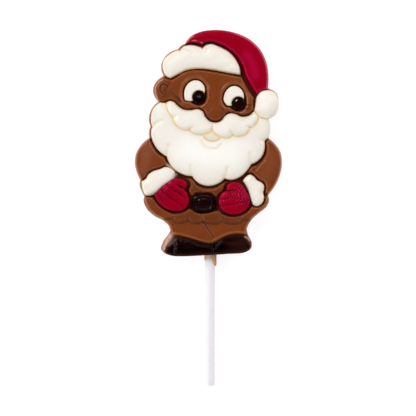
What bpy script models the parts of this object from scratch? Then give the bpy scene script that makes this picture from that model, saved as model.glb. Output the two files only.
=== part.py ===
# A moulded chocolate lollipop: a bearded winter figure in a hat, on a round white stick.
# It lies on its flat back, relief up (+Z), the hat towards +Y and the stick towards -Y.
#
# Sizes are in millimetres and the meshes are made in metres. Outlines are drawn in mould coordinates:
# X from the stick's axis, Y up from the line of the soles. A stroke is a smooth curve through its few
# points, and two strokes meet in a corner, as two lobes of the beard do.

import math
from collections import namedtuple

import bmesh
import bpy
import numpy as np
from mathutils import Matrix, Vector
from mathutils.geometry import delaunay_2d_cdt

MM = 0.001

# Driving heights above the flat back
BASE_TOP = 5.6
GAP = 0.3
INLAY_FLOOR = BASE_TOP + GAP
SOCKET_FLOOR = 5.9
FUSE_DEPTH = 1.2
CUT_TOP = 14.0

# The stick, its hole in the chocolate, and the chocolate that ran out round it
STICK_RADIUS = 2.05
STICK_END = -52.8
STICK_INSIDE = 45.0
STICK_AXIS_Z = 2.75
STICK_ROUND = 0.35
STICK_SIDES = 24
COLLAR_RADIUS = 2.68
COLLAR_END = -2.4
COLLAR_ROOT = 3.0
COLLAR_X = 0.2

# How finely the outlines and the relief are divided
EDGE_STEP = 1.4
FINE_STEP = 1.1
RELIEF_STEP = 1.8
FINE_RELIEF_STEP = 1.45
LINE_STEP = 1.0
SMALL_STEP = 0.9
SHARP_ANGLE = 50

# The eyes: the room left round each white, and the round pupil with its own room
EYE_ROOM = 0.65
PUPIL_RADIUS = 2.6
PUPILS = {"left": (-4.5, 62.8), "right": (11.3, 60.3)}

POMPOM_CENTRE = (22.6, 60.1)
POMPOM_RADII = (4.7, 5.6)
BUCKLE_CENTRE = (-2.6, 20.4)
BUCKLE_RADII = (5.0, 3.5)
BUCKLE_SQUARENESS = 3.2
NOSE_CENTRE = (1.5, 56.0)
NOSE_RADII = (2.5, 2.6)
EAR_CENTRE = (-18.8, 65.6)
EAR_RADII = (1.6, 2.4)
MOUTH_CENTRE = (1.6, 47.0)
MOUTH_RADII = (3.2, 1.6)

# Each raised field and inlay: the top of its upright side above the flat back, then the width and rise
# of its rounded edge, and the width and rise of its crown
Relief = namedtuple("Relief", "side edge_width edge_rise crown_width crown_rise")
RELIEFS = {
    "face": Relief(6.3, 0.6, 0.7, 5.0, 0.6),
    "sleeve": Relief(6.3, 0.6, 0.7, 6.0, 0.9),
    "belly": Relief(6.2, 0.6, 0.5, 3.0, 0.3),
    "coat": Relief(6.3, 0.6, 0.6, 5.0, 0.4),
    "hat": Relief(6.6, 0.9, 0.9, 4.0, 0.9),
    "trim": Relief(6.7, 0.9, 0.9, 4.5, 1.2),
    "pompom": Relief(6.6, 0.9, 0.9, 4.7, 1.4),
    "beard": Relief(6.5, 0.9, 0.8, 5.0, 0.9),
    "cuff": Relief(6.6, 0.9, 0.9, 2.8, 1.0),
    "mitten": Relief(6.6, 0.9, 0.9, 4.0, 0.9),
    "eye white": Relief(6.8, 0.5, 0.4, 2.5, 0.3),
    "pupil": Relief(6.9, 0.8, 0.6, 2.4, 0.6),
    "buckle": Relief(6.6, 0.45, 0.0, 1.0, 0.0),
    "shoes": Relief(6.6, 0.9, 0.9, 3.2, 1.0),
}

# Forms on top of those: creases as half width and depth, and what stands up as its rise
CREASE_SIZES = {
    "trim": (0.8, 0.5),
    "beard": (1.1, 0.7),
    "moustache": (0.7, 0.35),
    "thumb": (0.7, 0.5),
    "shoes": (0.7, 0.5),
    "sleeve": (0.7, 0.5),
    "hem": (0.8, 0.35),
    "placket": (0.6, 0.4),
}
MOUSTACHE_RELIEF = Relief(0.0, 1.2, 0.8, 3.4, 0.4)
MOUTH_RISE = 0.45
NOSE_RISE = 1.9
EAR_DEPTH = 1.1
HEM_DROP = 0.3
BUCKLE_RIM = {"inwards": 0.9, "half width": 0.45, "rise": 0.9}
BUCKLE_PLATE = {"inwards": 1.7, "slope": 0.5, "rise": 0.7}

# Finishes: colours as linear values, and how rough each surface is
MILK = (0.175, 0.045, 0.018)
WHITE = (0.88, 0.83, 0.74)
RED = (0.32, 0.002, 0.015)
DARK = (0.012, 0.003, 0.003)
STICK_WHITE = (0.83, 0.81, 0.85)
CHOCOLATE_ROUGHNESS = 0.35
DARK_ROUGHNESS = 0.2
STICK_ROUGHNESS = 0.4

SILHOUETTE_LEFT = [
    [(1.6, 89.6), (-4.0, 88.8), (-8.2, 86.7), (-10.0, 84.0)],
    [(-10.0, 84.0), (-11.8, 83.3), (-12.8, 82.0)],
    [(-12.8, 82.0), (-17.4, 79.7), (-19.6, 75.3), (-18.6, 71.3)],
    [(-18.6, 71.3), (-21.7, 68.8), (-22.8, 65.6), (-22.2, 63.0), (-20.6, 61.0)],
    [(-20.6, 61.0), (-23.3, 58.0), (-24.3, 54.4), (-23.5, 51.0)],
    [(-23.5, 51.0), (-24.3, 48.8), (-24.2, 46.6)],
    [(-24.2, 46.6), (-27.6, 43.6), (-29.6, 40.2), (-30.1, 36.8), (-29.5, 33.2), (-28.0, 29.8)],
    [(-28.0, 29.8), (-28.3, 27.8), (-27.6, 25.4), (-26.4, 23.0)],
    [(-26.4, 23.0), (-26.3, 21.4), (-25.0, 18.2), (-22.0, 15.4), (-18.4, 13.3), (-16.3, 11.0), (-15.8, 9.0)],
    [(-15.8, 9.0), (-16.6, 7.2), (-18.1, 5.4), (-18.9, 3.4), (-19.3, 1.4)],
    [(-19.3, 1.4), (-17.6, 0.2), (-15.5, -0.4), (-8.0, -0.5), (-2.0, -0.3)],
]
SILHOUETTE_RIGHT = [
    [(1.6, 89.6), (8.8, 88.8), (15.6, 86.0), (20.2, 81.6), (22.7, 76.0), (23.4, 70.4), (23.2, 66.4)],
    [(23.2, 66.4), (26.1, 64.7), (27.4, 60.4), (26.2, 56.1), (23.3, 54.1)],
    [(23.3, 54.1), (24.1, 50.4), (23.4, 46.4)],
    [(23.4, 46.4), (26.0, 44.1), (28.1, 41.0), (28.8, 36.8), (28.1, 32.0), (26.0, 27.2), (23.2, 23.5)],
    [(23.2, 23.5), (23.7, 21.6), (22.7, 19.0), (19.8, 16.5), (16.6, 13.6), (14.7, 10.0)],
    [(14.7, 10.0), (15.3, 7.6), (16.7, 4.6), (16.4, 2.2), (14.4, 0.9), (8.0, 0.3), (-2.0, -0.3)],
]

HAT_OUTER = [
    [(-9.9, 83.9), (-8.1, 86.5), (-4.0, 88.6), (1.6, 89.4), (8.8, 88.6), (15.5, 85.8), (20.0, 81.5),
     (22.5, 76.0), (23.2, 70.4), (23.0, 66.4)],
]
HAT_INNER = [
    [(-9.9, 83.9), (-7.8, 84.5), (-5.6, 84.5), (-3.0, 83.6)],
    [(-3.0, 83.6), (-1.6, 84.6), (0.6, 84.8), (4.0, 83.9), (8.0, 81.8), (11.7, 78.3), (14.1, 73.6),
     (16.2, 68.8), (18.8, 64.5)],
    [(18.8, 64.5), (20.8, 65.8), (23.0, 66.4)],
]
TRIM_UPPER = [
    [(-18.9, 75.2), (-18.2, 78.0), (-16.0, 80.1), (-12.0, 81.7)],
    [(-12.0, 81.7), (-11.0, 83.0), (-8.8, 83.7), (-5.8, 83.4), (-3.0, 82.4)],
    [(-3.0, 82.4), (-1.4, 83.7), (0.6, 84.0), (3.6, 83.0), (8.0, 80.6), (10.9, 77.4), (12.5, 73.6),
     (12.4, 71.7)],
]
TRIM_LOWER = [
    [(-18.9, 75.2), (-18.4, 72.8), (-17.2, 71.0), (-15.6, 70.3)],
    [(-15.6, 70.3), (-12.8, 72.1), (-9.4, 73.8), (-5.2, 74.4), (0.8, 73.9), (7.2, 72.7), (12.4, 71.7)],
]
TRIM_CREASES = [
    [(-12.0, 81.7), (-9.5, 81.2), (-7.2, 80.4)],
    [(-3.0, 82.4), (-1.6, 81.2)],
]

BEARD_UPPER = [
    [(-23.0, 50.8), (-23.6, 54.0), (-22.8, 57.8), (-20.0, 60.6)],
    [(-20.0, 60.6), (-17.6, 60.4)],
    [(-17.6, 60.4), (-16.2, 61.2), (-14.6, 60.9), (-13.0, 59.4), (-10.8, 57.8), (-7.8, 57.4), (-4.8, 57.8),
     (-3.0, 57.0), (-1.8, 54.8), (0.0, 53.1), (2.2, 52.6), (4.4, 53.3), (6.0, 55.2), (7.8, 56.2),
     (10.0, 56.0), (12.8, 54.9), (15.4, 55.3), (17.8, 57.2)],
    [(17.8, 57.2), (19.2, 55.5), (21.2, 54.3), (22.9, 53.8)],
    [(22.9, 53.8), (23.7, 52.2), (23.9, 50.4)],
]
BEARD_LOWER = [
    [(-23.0, 50.8), (-23.6, 48.6), (-23.3, 46.3)],
    [(-23.3, 46.3), (-22.0, 43.2), (-20.0, 40.8), (-17.3, 39.0)],
    [(-17.3, 39.0), (-16.2, 36.2), (-13.8, 33.5), (-10.6, 31.7), (-7.1, 31.1)],
    [(-7.1, 31.1), (-4.6, 28.4), (-0.8, 27.2), (3.0, 28.0), (5.9, 30.2)],
    [(5.9, 30.2), (8.6, 29.6), (12.0, 30.8), (15.0, 33.6), (16.5, 35.9)],
    [(16.5, 35.9), (19.0, 37.1), (20.9, 39.2), (21.9, 42.2), (21.8, 45.1)],
    [(21.8, 45.1), (23.2, 46.6)],
    [(23.2, 46.6), (23.8, 48.5), (23.9, 50.4)],
]
BEARD_CREASES = [
    [(-17.3, 39.0), (-16.5, 43.4)],
    [(-7.1, 31.1), (-7.7, 35.2)],
    [(5.9, 30.2), (7.1, 34.6)],
    [(16.5, 35.9), (16.1, 40.2)],
    [(-23.0, 50.8), (-20.9, 52.4)],
]
MOUSTACHE_EDGE = [
    [(-17.6, 60.4), (-16.9, 57.4), (-15.0, 54.5)],
    [(-15.0, 54.5), (-14.0, 52.2), (-11.6, 50.2), (-8.1, 49.7)],
    [(-8.1, 49.7), (-5.8, 48.2), (-3.0, 47.9), (-0.8, 48.6), (0.9, 49.5)],
    [(0.9, 49.5), (2.8, 47.8), (5.0, 46.8), (7.2, 46.6), (9.1, 47.6)],
    [(9.1, 47.6), (11.6, 47.0), (14.4, 47.9), (15.9, 50.3)],
    [(15.9, 50.3), (18.2, 51.8), (19.3, 54.2), (17.8, 57.2)],
]

EYE_WHITES = {
    "left": [
        [(-9.9, 61.4), (-10.4, 64.4), (-9.4, 67.3), (-7.6, 69.0), (-5.6, 69.5), (-3.6, 68.8), (-2.2, 66.9),
         (-2.2, 64.0)],
        [(-2.2, 64.0), (-4.6, 62.4), (-7.0, 61.2), (-9.9, 61.4)],
    ],
    "right": [
        [(7.0, 59.3), (5.5, 61.2), (5.7, 63.8), (7.0, 65.9), (8.8, 67.1), (10.6, 67.1), (12.4, 66.0),
         (13.5, 64.0), (13.4, 61.6)],
        [(13.4, 61.6), (11.0, 60.2), (9.2, 59.4), (7.0, 59.3)],
    ],
}
EYE_SOCKETS = {
    "left": [
        [(-9.9, 61.4), (-10.4, 64.4), (-9.4, 67.3), (-7.6, 69.0), (-5.6, 69.5), (-3.6, 68.8), (-2.2, 66.9),
         (-1.8, 64.4), (-2.0, 62.0), (-3.2, 60.5), (-5.6, 60.2), (-9.9, 61.4)],
    ],
    "right": [
        [(6.7, 59.3), (5.5, 61.2), (5.7, 63.8), (7.0, 65.9), (8.8, 67.1), (10.6, 67.1), (12.4, 66.0),
         (13.5, 64.0), (14.0, 61.4), (13.8, 59.2), (12.6, 57.9), (10.6, 57.8), (6.7, 59.3)],
    ],
}

CUFF_LEFT = [
    [(-27.3, 29.2), (-25.8, 30.0), (-24.6, 31.9), (-22.6, 33.2), (-20.0, 34.0), (-17.9, 34.7), (-16.0, 34.2),
     (-14.3, 32.2), (-14.8, 30.7), (-18.6, 27.7), (-22.2, 24.7), (-24.0, 23.5), (-25.6, 23.5),
     (-27.0, 25.9), (-27.3, 29.2)],
]
CUFF_RIGHT = [
    [(13.3, 29.3), (14.4, 30.9), (16.0, 31.8), (17.6, 30.9), (18.8, 29.6), (20.3, 28.8), (21.5, 27.6),
     (21.7, 26.2), (21.3, 24.8), (21.6, 22.2), (20.8, 20.2), (18.2, 19.4), (16.8, 20.8), (16.2, 23.2),
     (15.4, 25.8), (13.3, 29.3)],
]
MITTEN_LEFT = [
    [(-22.2, 23.6), (-17.4, 28.0), (-13.4, 30.1), (-10.8, 29.7), (-9.1, 27.8), (-10.1, 25.6)],
    [(-10.1, 25.6), (-8.8, 23.6), (-8.4, 20.8), (-9.4, 18.6), (-12.2, 17.1), (-15.4, 17.3), (-19.0, 19.3),
     (-22.2, 23.6)],
]
MITTEN_RIGHT = [
    [(6.6, 25.4), (6.7, 27.4), (8.6, 28.5), (10.8, 28.5), (12.8, 27.3), (15.0, 24.2), (16.2, 20.4)],
    [(16.2, 20.4), (14.2, 17.4), (10.4, 15.8), (6.8, 16.2), (4.2, 18.4), (3.4, 21.0), (3.9, 23.2),
     (6.6, 25.4)],
]
THUMB_LEFT = [[(-10.1, 25.6), (-12.6, 25.2), (-14.6, 26.2)]]
THUMB_RIGHT = [[(6.6, 25.4), (9.2, 24.6), (11.4, 25.2)]]
SHOES_UPPER = [
    [(-18.9, 1.5), (-18.2, 3.2), (-16.4, 5.8), (-14.2, 7.2), (-11.6, 7.1), (-8.0, 5.6), (-4.0, 4.4),
     (0.6, 3.8)],
    [(0.6, 3.8), (3.4, 5.7), (6.6, 7.1), (10.4, 7.7), (13.6, 7.2), (15.9, 5.3), (16.3, 3.0), (14.6, 1.1)],
]
SHOES_LOWER = [
    [(-18.9, 1.5), (-17.2, 0.5), (-14.0, -0.2), (-6.0, -0.2), (4.0, 0.4), (14.6, 1.1)],
]
SHOE_PARTING = [[(0.6, 3.8), (1.0, 2.0), (1.3, 0.2)]]

# Raised fields of the milk chocolate, with a groove of bare base left round every inlay
FACE = [
    [(-22.5, 65.6), (-21.5, 68.6), (-18.9, 70.8)],
    [(-18.9, 70.8), (-16.8, 69.7), (-15.2, 69.5), (-13.6, 70.6), (-10.6, 72.7), (-7.6, 73.6), (-4.0, 73.6),
     (1.0, 73.0), (7.2, 71.9), (12.6, 70.8)],
    [(12.6, 70.8), (14.4, 67.8), (16.0, 64.9), (17.6, 62.4)],
    [(17.6, 62.4), (17.2, 60.2), (17.4, 58.0)],
    [(17.4, 58.0), (15.6, 56.4), (13.4, 55.8), (11.0, 56.5), (8.6, 57.1), (6.6, 56.7), (5.4, 55.2),
     (4.0, 54.0), (2.2, 53.4), (0.4, 53.7), (-1.2, 55.0), (-2.4, 57.4), (-3.8, 58.5), (-6.4, 58.5),
     (-9.2, 58.3), (-11.4, 59.0), (-13.2, 60.7), (-15.0, 61.9), (-17.0, 61.9), (-18.0, 61.4), (-20.4, 61.5)],
    [(-20.4, 61.5), (-22.0, 63.2), (-22.5, 65.6)],
]
SLEEVE_LEFT = [
    [(-24.3, 46.2), (-27.4, 43.5), (-29.3, 40.2), (-29.8, 36.8), (-29.2, 33.3), (-27.6, 30.0)],
    [(-27.6, 30.0), (-25.8, 31.0), (-24.6, 33.0), (-22.0, 34.2), (-19.6, 34.9), (-18.4, 35.6), (-16.8, 35.4)],
    [(-16.8, 35.4), (-17.6, 36.8), (-18.4, 38.6)],
    [(-18.4, 38.6), (-20.8, 40.0), (-22.6, 42.4), (-24.3, 46.2)],
]
SLEEVE_RIGHT = [
    [(23.6, 45.9), (25.8, 43.9), (27.8, 41.0), (28.5, 36.8), (27.8, 32.1), (25.8, 27.4), (23.3, 24.2)],
    [(23.3, 24.2), (22.3, 24.6), (22.5, 26.6), (21.9, 28.6), (20.4, 29.6), (19.2, 30.4), (17.8, 32.0)],
    [(17.8, 32.0), (16.4, 32.7), (15.4, 32.8)],
    [(15.4, 32.8), (16.6, 34.5), (18.8, 35.3), (21.0, 37.2), (22.4, 39.6), (22.8, 42.6), (22.6, 44.8),
     (23.6, 45.9)],
]
BELLY = [
    [(-9.2, 30.2), (-7.2, 30.2), (-5.2, 28.0), (-3.0, 26.7), (-0.6, 26.3), (2.6, 26.9), (5.2, 28.6),
     (6.6, 29.0)],
    [(6.6, 29.0), (5.6, 27.6), (5.2, 25.4), (3.6, 24.4), (2.4, 22.8)],
    [(2.4, 22.8), (1.0, 24.3), (-2.6, 24.6), (-6.4, 24.2), (-7.0, 23.2)],
    [(-7.0, 23.2), (-8.4, 25.6), (-7.6, 27.2), (-8.0, 29.0), (-9.2, 30.2)],
]
COAT = [
    [(-26.0, 22.6), (-25.8, 21.4), (-24.6, 18.4), (-21.8, 15.7), (-18.2, 13.6), (-16.0, 11.2), (-15.4, 9.0)],
    [(-15.4, 9.0), (-14.6, 8.0), (-11.6, 7.9), (-8.0, 6.4), (-4.0, 5.2), (0.6, 4.6)],
    [(0.6, 4.6), (3.4, 6.5), (6.6, 7.9), (10.4, 8.5), (14.6, 8.2)],
    [(14.6, 8.2), (14.4, 10.0), (16.3, 13.8), (19.6, 16.8), (22.4, 19.2), (23.4, 21.6), (23.0, 23.2)],
    [(23.0, 23.2), (22.3, 22.8), (22.2, 21.2), (21.0, 19.4), (18.4, 18.5), (16.8, 19.0)],
    [(16.8, 19.0), (14.6, 16.6), (10.6, 14.9), (6.6, 15.2), (3.6, 17.2)],
    [(3.6, 17.2), (2.0, 17.0), (-1.0, 16.2), (-4.6, 16.2), (-6.6, 17.2)],
    [(-6.6, 17.2), (-8.4, 17.8), (-10.4, 16.7), (-14.4, 16.0), (-18.8, 18.0), (-22.4, 22.0)],
    [(-22.4, 22.0), (-24.0, 22.6), (-26.0, 22.6)],
]
HEM = [
    [(-18.4, 13.9), (-16.8, 13.5), (-15.2, 14.4)],
    [(-15.2, 14.4), (-14.4, 13.0), (-11.8, 12.6), (-9.2, 13.2), (-8.4, 14.6)],
    [(-8.4, 14.6), (-7.4, 12.9), (-5.0, 12.3), (-3.0, 12.6), (-2.6, 13.4)],
    [(-2.6, 13.4), (-1.6, 12.5), (1.0, 12.2), (3.4, 12.7), (4.2, 13.8)],
    [(4.2, 13.8), (5.4, 12.5), (8.8, 12.0), (12.2, 12.7), (13.3, 14.4)],
    [(13.3, 14.4), (14.8, 13.6), (17.0, 14.2)],
]
PLACKET = [
    [(-3.8, 16.2), (-2.9, 13.4)],
    [(-2.5, 12.8), (-0.9, 10.2), (0.7, 7.4), (1.2, 6.2)],
]
SLEEVE_FOLDS = [[(17.4, 32.7), (19.4, 35.5)]]


def stroke_points(points, step):
    """A smooth curve through the points: a Hermite spline on chord lengths, sloped by the chords beside."""
    knots = np.array(points, float)
    chords = np.diff(knots, axis=0)
    lengths = np.hypot(*chords.T)
    at = np.concatenate([[0.0], np.cumsum(lengths)])
    count = max(2, round(at[-1] / step) + 1)
    where = np.linspace(0, at[-1], count)
    slopes = chords / lengths[:, None]
    if len(knots) == 2:
        return knots[0] + where[:, None] * slopes[0]
    weights = lengths[:, None]
    inner = (slopes[:-1] * weights[1:] + slopes[1:] * weights[:-1]) / (weights[1:] + weights[:-1])
    tangents = np.vstack([2 * slopes[0] - inner[0], inner, 2 * slopes[-1] - inner[-1]])
    span = np.clip(np.searchsorted(at, where, side="right") - 1, 0, len(lengths) - 1)
    width = lengths[span][:, None]
    t = ((where - at[span]) / lengths[span])[:, None]
    return (
        (2 * t**3 - 3 * t**2 + 1) * knots[span]
        + (t**3 - 2 * t**2 + t) * width * tangents[span]
        + (3 * t**2 - 2 * t**3) * knots[span + 1]
        + (t**3 - t**2) * width * tangents[span + 1]
    )


def chain(strokes, step):
    """One open line through all the strokes, each start left out where the last stroke ended."""
    lines = [stroke_points(points, step) for points in strokes]
    return np.vstack([lines[0]] + [line[1:] for line in lines[1:]])


def counterclockwise(loop):
    x, y = loop.T
    doubled_area = np.sum(x * np.roll(y, -1) - np.roll(x, -1) * y)
    return loop if doubled_area > 0 else loop[::-1]


def closed_outline(strokes, step=EDGE_STEP):
    """A loop whose last stroke ends where the first begins."""
    return counterclockwise(chain(strokes, step)[:-1])


def outline_between(one_side, other_side, step=EDGE_STEP):
    """A loop up one rail and back down the other, which share both ends."""
    there = chain(one_side, step)
    back = chain(other_side, step)[::-1]
    return counterclockwise(np.vstack([there[:-1], back[:-1]]))


def oval(centre, radii, squareness=2.0, step=EDGE_STEP):
    """A superellipse: squareness 2 is an ellipse, and larger values square its corners."""
    count = max(16, round(math.pi * sum(radii) / step))
    angle = np.arange(count) * 2 * math.pi / count
    c, s = np.cos(angle), np.sin(angle)
    power = 2 / squareness
    x = centre[0] + radii[0] * np.sign(c) * np.abs(c) ** power
    y = centre[1] + radii[1] * np.sign(s) * np.abs(s) ** power
    return np.column_stack([x, y])


def outward_normals(loop):
    along = np.roll(loop, -1, axis=0) - np.roll(loop, 1, axis=0)
    normal = np.column_stack([along[:, 1], -along[:, 0]])
    return normal / np.hypot(*normal.T)[:, None]


def grown(loop, by):
    """The loop moved outwards, or inwards where by is negative."""
    return loop + by * outward_normals(loop)


def distance_to(points, line, closed=False):
    """Each point's distance to the nearest of the line's segments."""
    starts = line if closed else line[:-1]
    ends = np.roll(line, -1, axis=0) if closed else line[1:]
    along = ends - starts
    offset = points[:, None] - starts[None]
    share = np.clip((offset * along).sum(2) / (along**2).sum(1), 0, 1)
    return np.hypot(*np.moveaxis(offset - share[..., None] * along, 2, 0)).min(1)


def inside(points, loop):
    """Whether a ray from each point towards +X crosses the loop an odd number of times."""
    x, y = points[:, :1], points[:, 1:]
    x1, y1 = loop.T
    x2, y2 = np.roll(loop, -1, axis=0).T
    spans = (y1 > y) != (y2 > y)
    rise = np.where(y2 == y1, 1.0, y2 - y1)
    return ((spans & (x < x1 + (y - y1) * (x2 - x1) / rise)).sum(1) % 2).astype(bool)


def swell(distance, relief):
    """From the side's top, a quarter-ellipse edge and a parabola up to the crown, by distance inwards."""
    edge = np.clip(distance / relief.edge_width, 0, 1)
    crown = np.clip(distance / relief.crown_width, 0, 1)
    rounded = relief.edge_rise * np.sqrt(1 - (1 - edge) ** 2)
    return relief.side + rounded + relief.crown_rise * (1 - (1 - crown) ** 2)


def valley(distance, size):
    """A smooth trough of the given half width and depth, by distance from its line."""
    half_width, depth = size
    return -depth * np.exp(-((distance / half_width) ** 2))


def crease(points, strokes, size):
    nearest = np.min([distance_to(points, stroke_points(line, LINE_STEP)) for line in strokes], axis=0)
    return valley(nearest, size)


def boss(points, centre, radii, rise):
    """A round boss with a soft foot: a squared cosine of the scaled distance from its centre."""
    scaled = np.hypot(*((points - centre) / radii).T)
    return rise * np.cos(np.clip(scaled, 0, 1.6) * math.pi / 3.2) ** 2


def spaced(kept, candidates, least):
    """The kept points and those candidates that stand at least so far from all of them."""
    points = list(kept)
    for candidate in candidates:
        if np.hypot(*(np.array(points) - candidate).T).min() > least:
            points.append(candidate)
    return np.array(points)


def relief_points(loop, edge_width, step, creases):
    """The outline, a ring where its rounded edge ends, points along the creases, and a hexagonal field."""
    ring = grown(loop, -edge_width)
    ring = ring[inside(ring, loop) & (distance_to(ring, loop, closed=True) > 0.9 * edge_width)]
    low, high = loop.min(0), loop.max(0)
    rows = np.arange(low[1] + step / 2, high[1], step * math.sqrt(3) / 2)
    columns = np.arange(low[0] + step / 4, high[0], step)
    field = np.array([(x + step / 2 * (row % 2), y) for row, y in enumerate(rows) for x in columns])
    lines = [stroke_points(line, step * 0.6) for line in creases]
    points = spaced(loop, ring, 0.35 * step)
    for extra in lines + [field]:
        extra = extra[inside(extra, loop)]
        extra = extra[distance_to(extra, loop, closed=True) > 0.4 * step]
        points = spaced(points, extra, 0.5 * step)
    return points


def solid_object(name, mesh, collection, colour=None, roughness=0.4):
    obj = bpy.data.objects.new(name, mesh)
    collection.objects.link(obj)
    if colour:
        material = bpy.data.materials.new(name)
        material.use_nodes = True
        shader = material.node_tree.nodes["Principled BSDF"]
        shader.inputs["Base Color"].default_value = (*colour, 1.0)
        shader.inputs["Roughness"].default_value = roughness
        shader.inputs["Metallic"].default_value = 0.0
        mesh.materials.append(material)
    return obj


def relief_mesh(name, loop, floor, relief, forms=None, creases=(), step=RELIEF_STEP):
    """A closed solid: a flat floor, upright walls, and a top triangulated between outline, ring and field.

    The top follows the relief, and forms adds its heights by point and distance from the outline. They
    fade in across the rounded edge. Creases are lines that get points of their own.
    """
    count = len(loop)
    points = relief_points(loop, relief.edge_width, step, creases)
    vectors = [Vector(point) for point in points]
    flat, _, faces, _, _, _ = delaunay_2d_cdt(vectors, [], [list(range(count))], 1, 1e-6)
    spots = np.array([tuple(point) for point in flat])
    inwards = distance_to(spots, loop, closed=True)
    tops = swell(inwards, relief)
    if forms:
        tops = tops + np.clip(inwards / relief.edge_width, 0, 1) * forms(spots, inwards)
    mesh = bmesh.new()
    upper = [mesh.verts.new((x * MM, y * MM, z * MM)) for (x, y), z in zip(spots, tops)]
    lower = [mesh.verts.new((x * MM, y * MM, floor * MM)) for x, y in spots[:count]]
    for face in faces:
        mesh.faces.new([upper[index] for index in face])
    for here in range(count):
        there = (here + 1) % count
        mesh.faces.new([lower[here], lower[there], upper[there], upper[here]])
    mesh.faces.new(lower[::-1])
    bmesh.ops.recalc_face_normals(mesh, faces=mesh.faces)
    data = bpy.data.meshes.new(name)
    mesh.to_mesh(data)
    mesh.free()
    data.shade_smooth()
    data.set_sharp_from_angle(angle=math.radians(SHARP_ANGLE))
    return data


def prism_mesh(name, loop, low, high):
    """A 2D curve filled and extruded between two heights, made a welded mesh that can be cut or cut with."""
    curve = bpy.data.curves.new(name, "CURVE")
    curve.dimensions = "2D"
    curve.fill_mode = "BOTH"
    curve.extrude = (high - low) / 2 * MM
    spline = curve.splines.new("POLY")
    spline.points.add(len(loop) - 1)
    for point, (x, y) in zip(spline.points, loop):
        point.co = (x * MM, y * MM, 0.0, 1.0)
    spline.use_cyclic_u = True
    holder = bpy.data.objects.new(name, curve)
    bpy.context.scene.collection.objects.link(holder)
    evaluated = holder.evaluated_get(bpy.context.evaluated_depsgraph_get())
    data = bpy.data.meshes.new_from_object(evaluated)
    bpy.data.objects.remove(holder)
    bpy.data.curves.remove(curve)
    welded = bmesh.new()
    welded.from_mesh(data)
    bmesh.ops.remove_doubles(welded, verts=welded.verts, dist=1e-6)
    bmesh.ops.translate(welded, verts=welded.verts, vec=(0, 0, (low + high) / 2 * MM))
    bmesh.ops.recalc_face_normals(welded, faces=welded.faces)
    welded.to_mesh(data)
    welded.free()
    return data


def rod_mesh(name, radius, start, end, x=0.0):
    """A cylinder along Y at the height of the stick's axis."""
    rod = bmesh.new()
    bmesh.ops.create_cone(
        rod, cap_ends=True, segments=STICK_SIDES, radius1=radius * MM, radius2=radius * MM,
        depth=(end - start) * MM,
    )
    bmesh.ops.rotate(rod, verts=rod.verts, cent=(0, 0, 0), matrix=Matrix.Rotation(math.radians(90), 3, "X"))
    bmesh.ops.translate(rod, verts=rod.verts, vec=(x * MM, (start + end) / 2 * MM, STICK_AXIS_Z * MM))
    data = bpy.data.meshes.new(name)
    rod.to_mesh(data)
    rod.free()
    return data


def helper(name, mesh, collection):
    obj = solid_object(name, mesh, collection)
    obj.hide_render = True
    obj.display_type = "WIRE"
    return obj


def cut(obj, cutter):
    modifier = obj.modifiers.new("cut " + cutter.name, "BOOLEAN")
    modifier.operation = "DIFFERENCE"
    modifier.solver = "EXACT"
    modifier.object = cutter


def inlay(name, loop, relief, colour, roughness=CHOCOLATE_ROUGHNESS, floor=INLAY_FLOOR, **options):
    """A poured inlay of coloured chocolate that stands on the base, its walls upright to the rounded edge."""
    mesh = relief_mesh(name, loop, floor, relief, **options)
    return solid_object(name, mesh, PARTS, colour, roughness)


def creased(strokes, size):
    """Forms that are only creases along the strokes."""
    return lambda points, inwards: crease(points, strokes, size)


def beard_forms(points, inwards):
    """The creases between the beard's lobes, the moustache a step higher, and the mouth's small lens."""
    edge = chain(MOUSTACHE_EDGE, LINE_STEP)
    top = np.array(BEARD_UPPER[2])[::-1]
    moustache = np.vstack([edge, top[1:-1]])
    beyond = distance_to(points, edge)
    raised = np.where(inside(points, moustache), swell(beyond, MOUSTACHE_RELIEF), 0.0)
    grooved = valley(beyond, CREASE_SIZES["moustache"])
    lobes = crease(points, BEARD_CREASES, CREASE_SIZES["beard"])
    return raised + grooved + lobes + boss(points, MOUTH_CENTRE, MOUTH_RADII, MOUTH_RISE)


def buckle_forms(points, inwards):
    """A raised rim round a sunk field that carries a raised plate."""
    rim = np.exp(-(((inwards - BUCKLE_RIM["inwards"]) / BUCKLE_RIM["half width"]) ** 2))
    plate = np.clip((inwards - BUCKLE_PLATE["inwards"]) / BUCKLE_PLATE["slope"], 0, 1)
    return BUCKLE_RIM["rise"] * rim + BUCKLE_PLATE["rise"] * plate


def face_forms(points, inwards):
    """The round nose and the hollow of the ear."""
    nose = boss(points, NOSE_CENTRE, NOSE_RADII, NOSE_RISE)
    return nose + boss(points, EAR_CENTRE, EAR_RADII, -EAR_DEPTH)


def coat_forms(points, inwards):
    """The step down at the coat's scalloped hem to the trousers, and the line where its fronts meet."""
    hem_x, hem_y = chain(HEM, LINE_STEP).T
    below = points[:, 1] < np.interp(points[:, 0], hem_x, hem_y)
    lines = crease(points, HEM, CREASE_SIZES["hem"]) + crease(points, PLACKET, CREASE_SIZES["placket"])
    return lines - HEM_DROP * below


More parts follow.
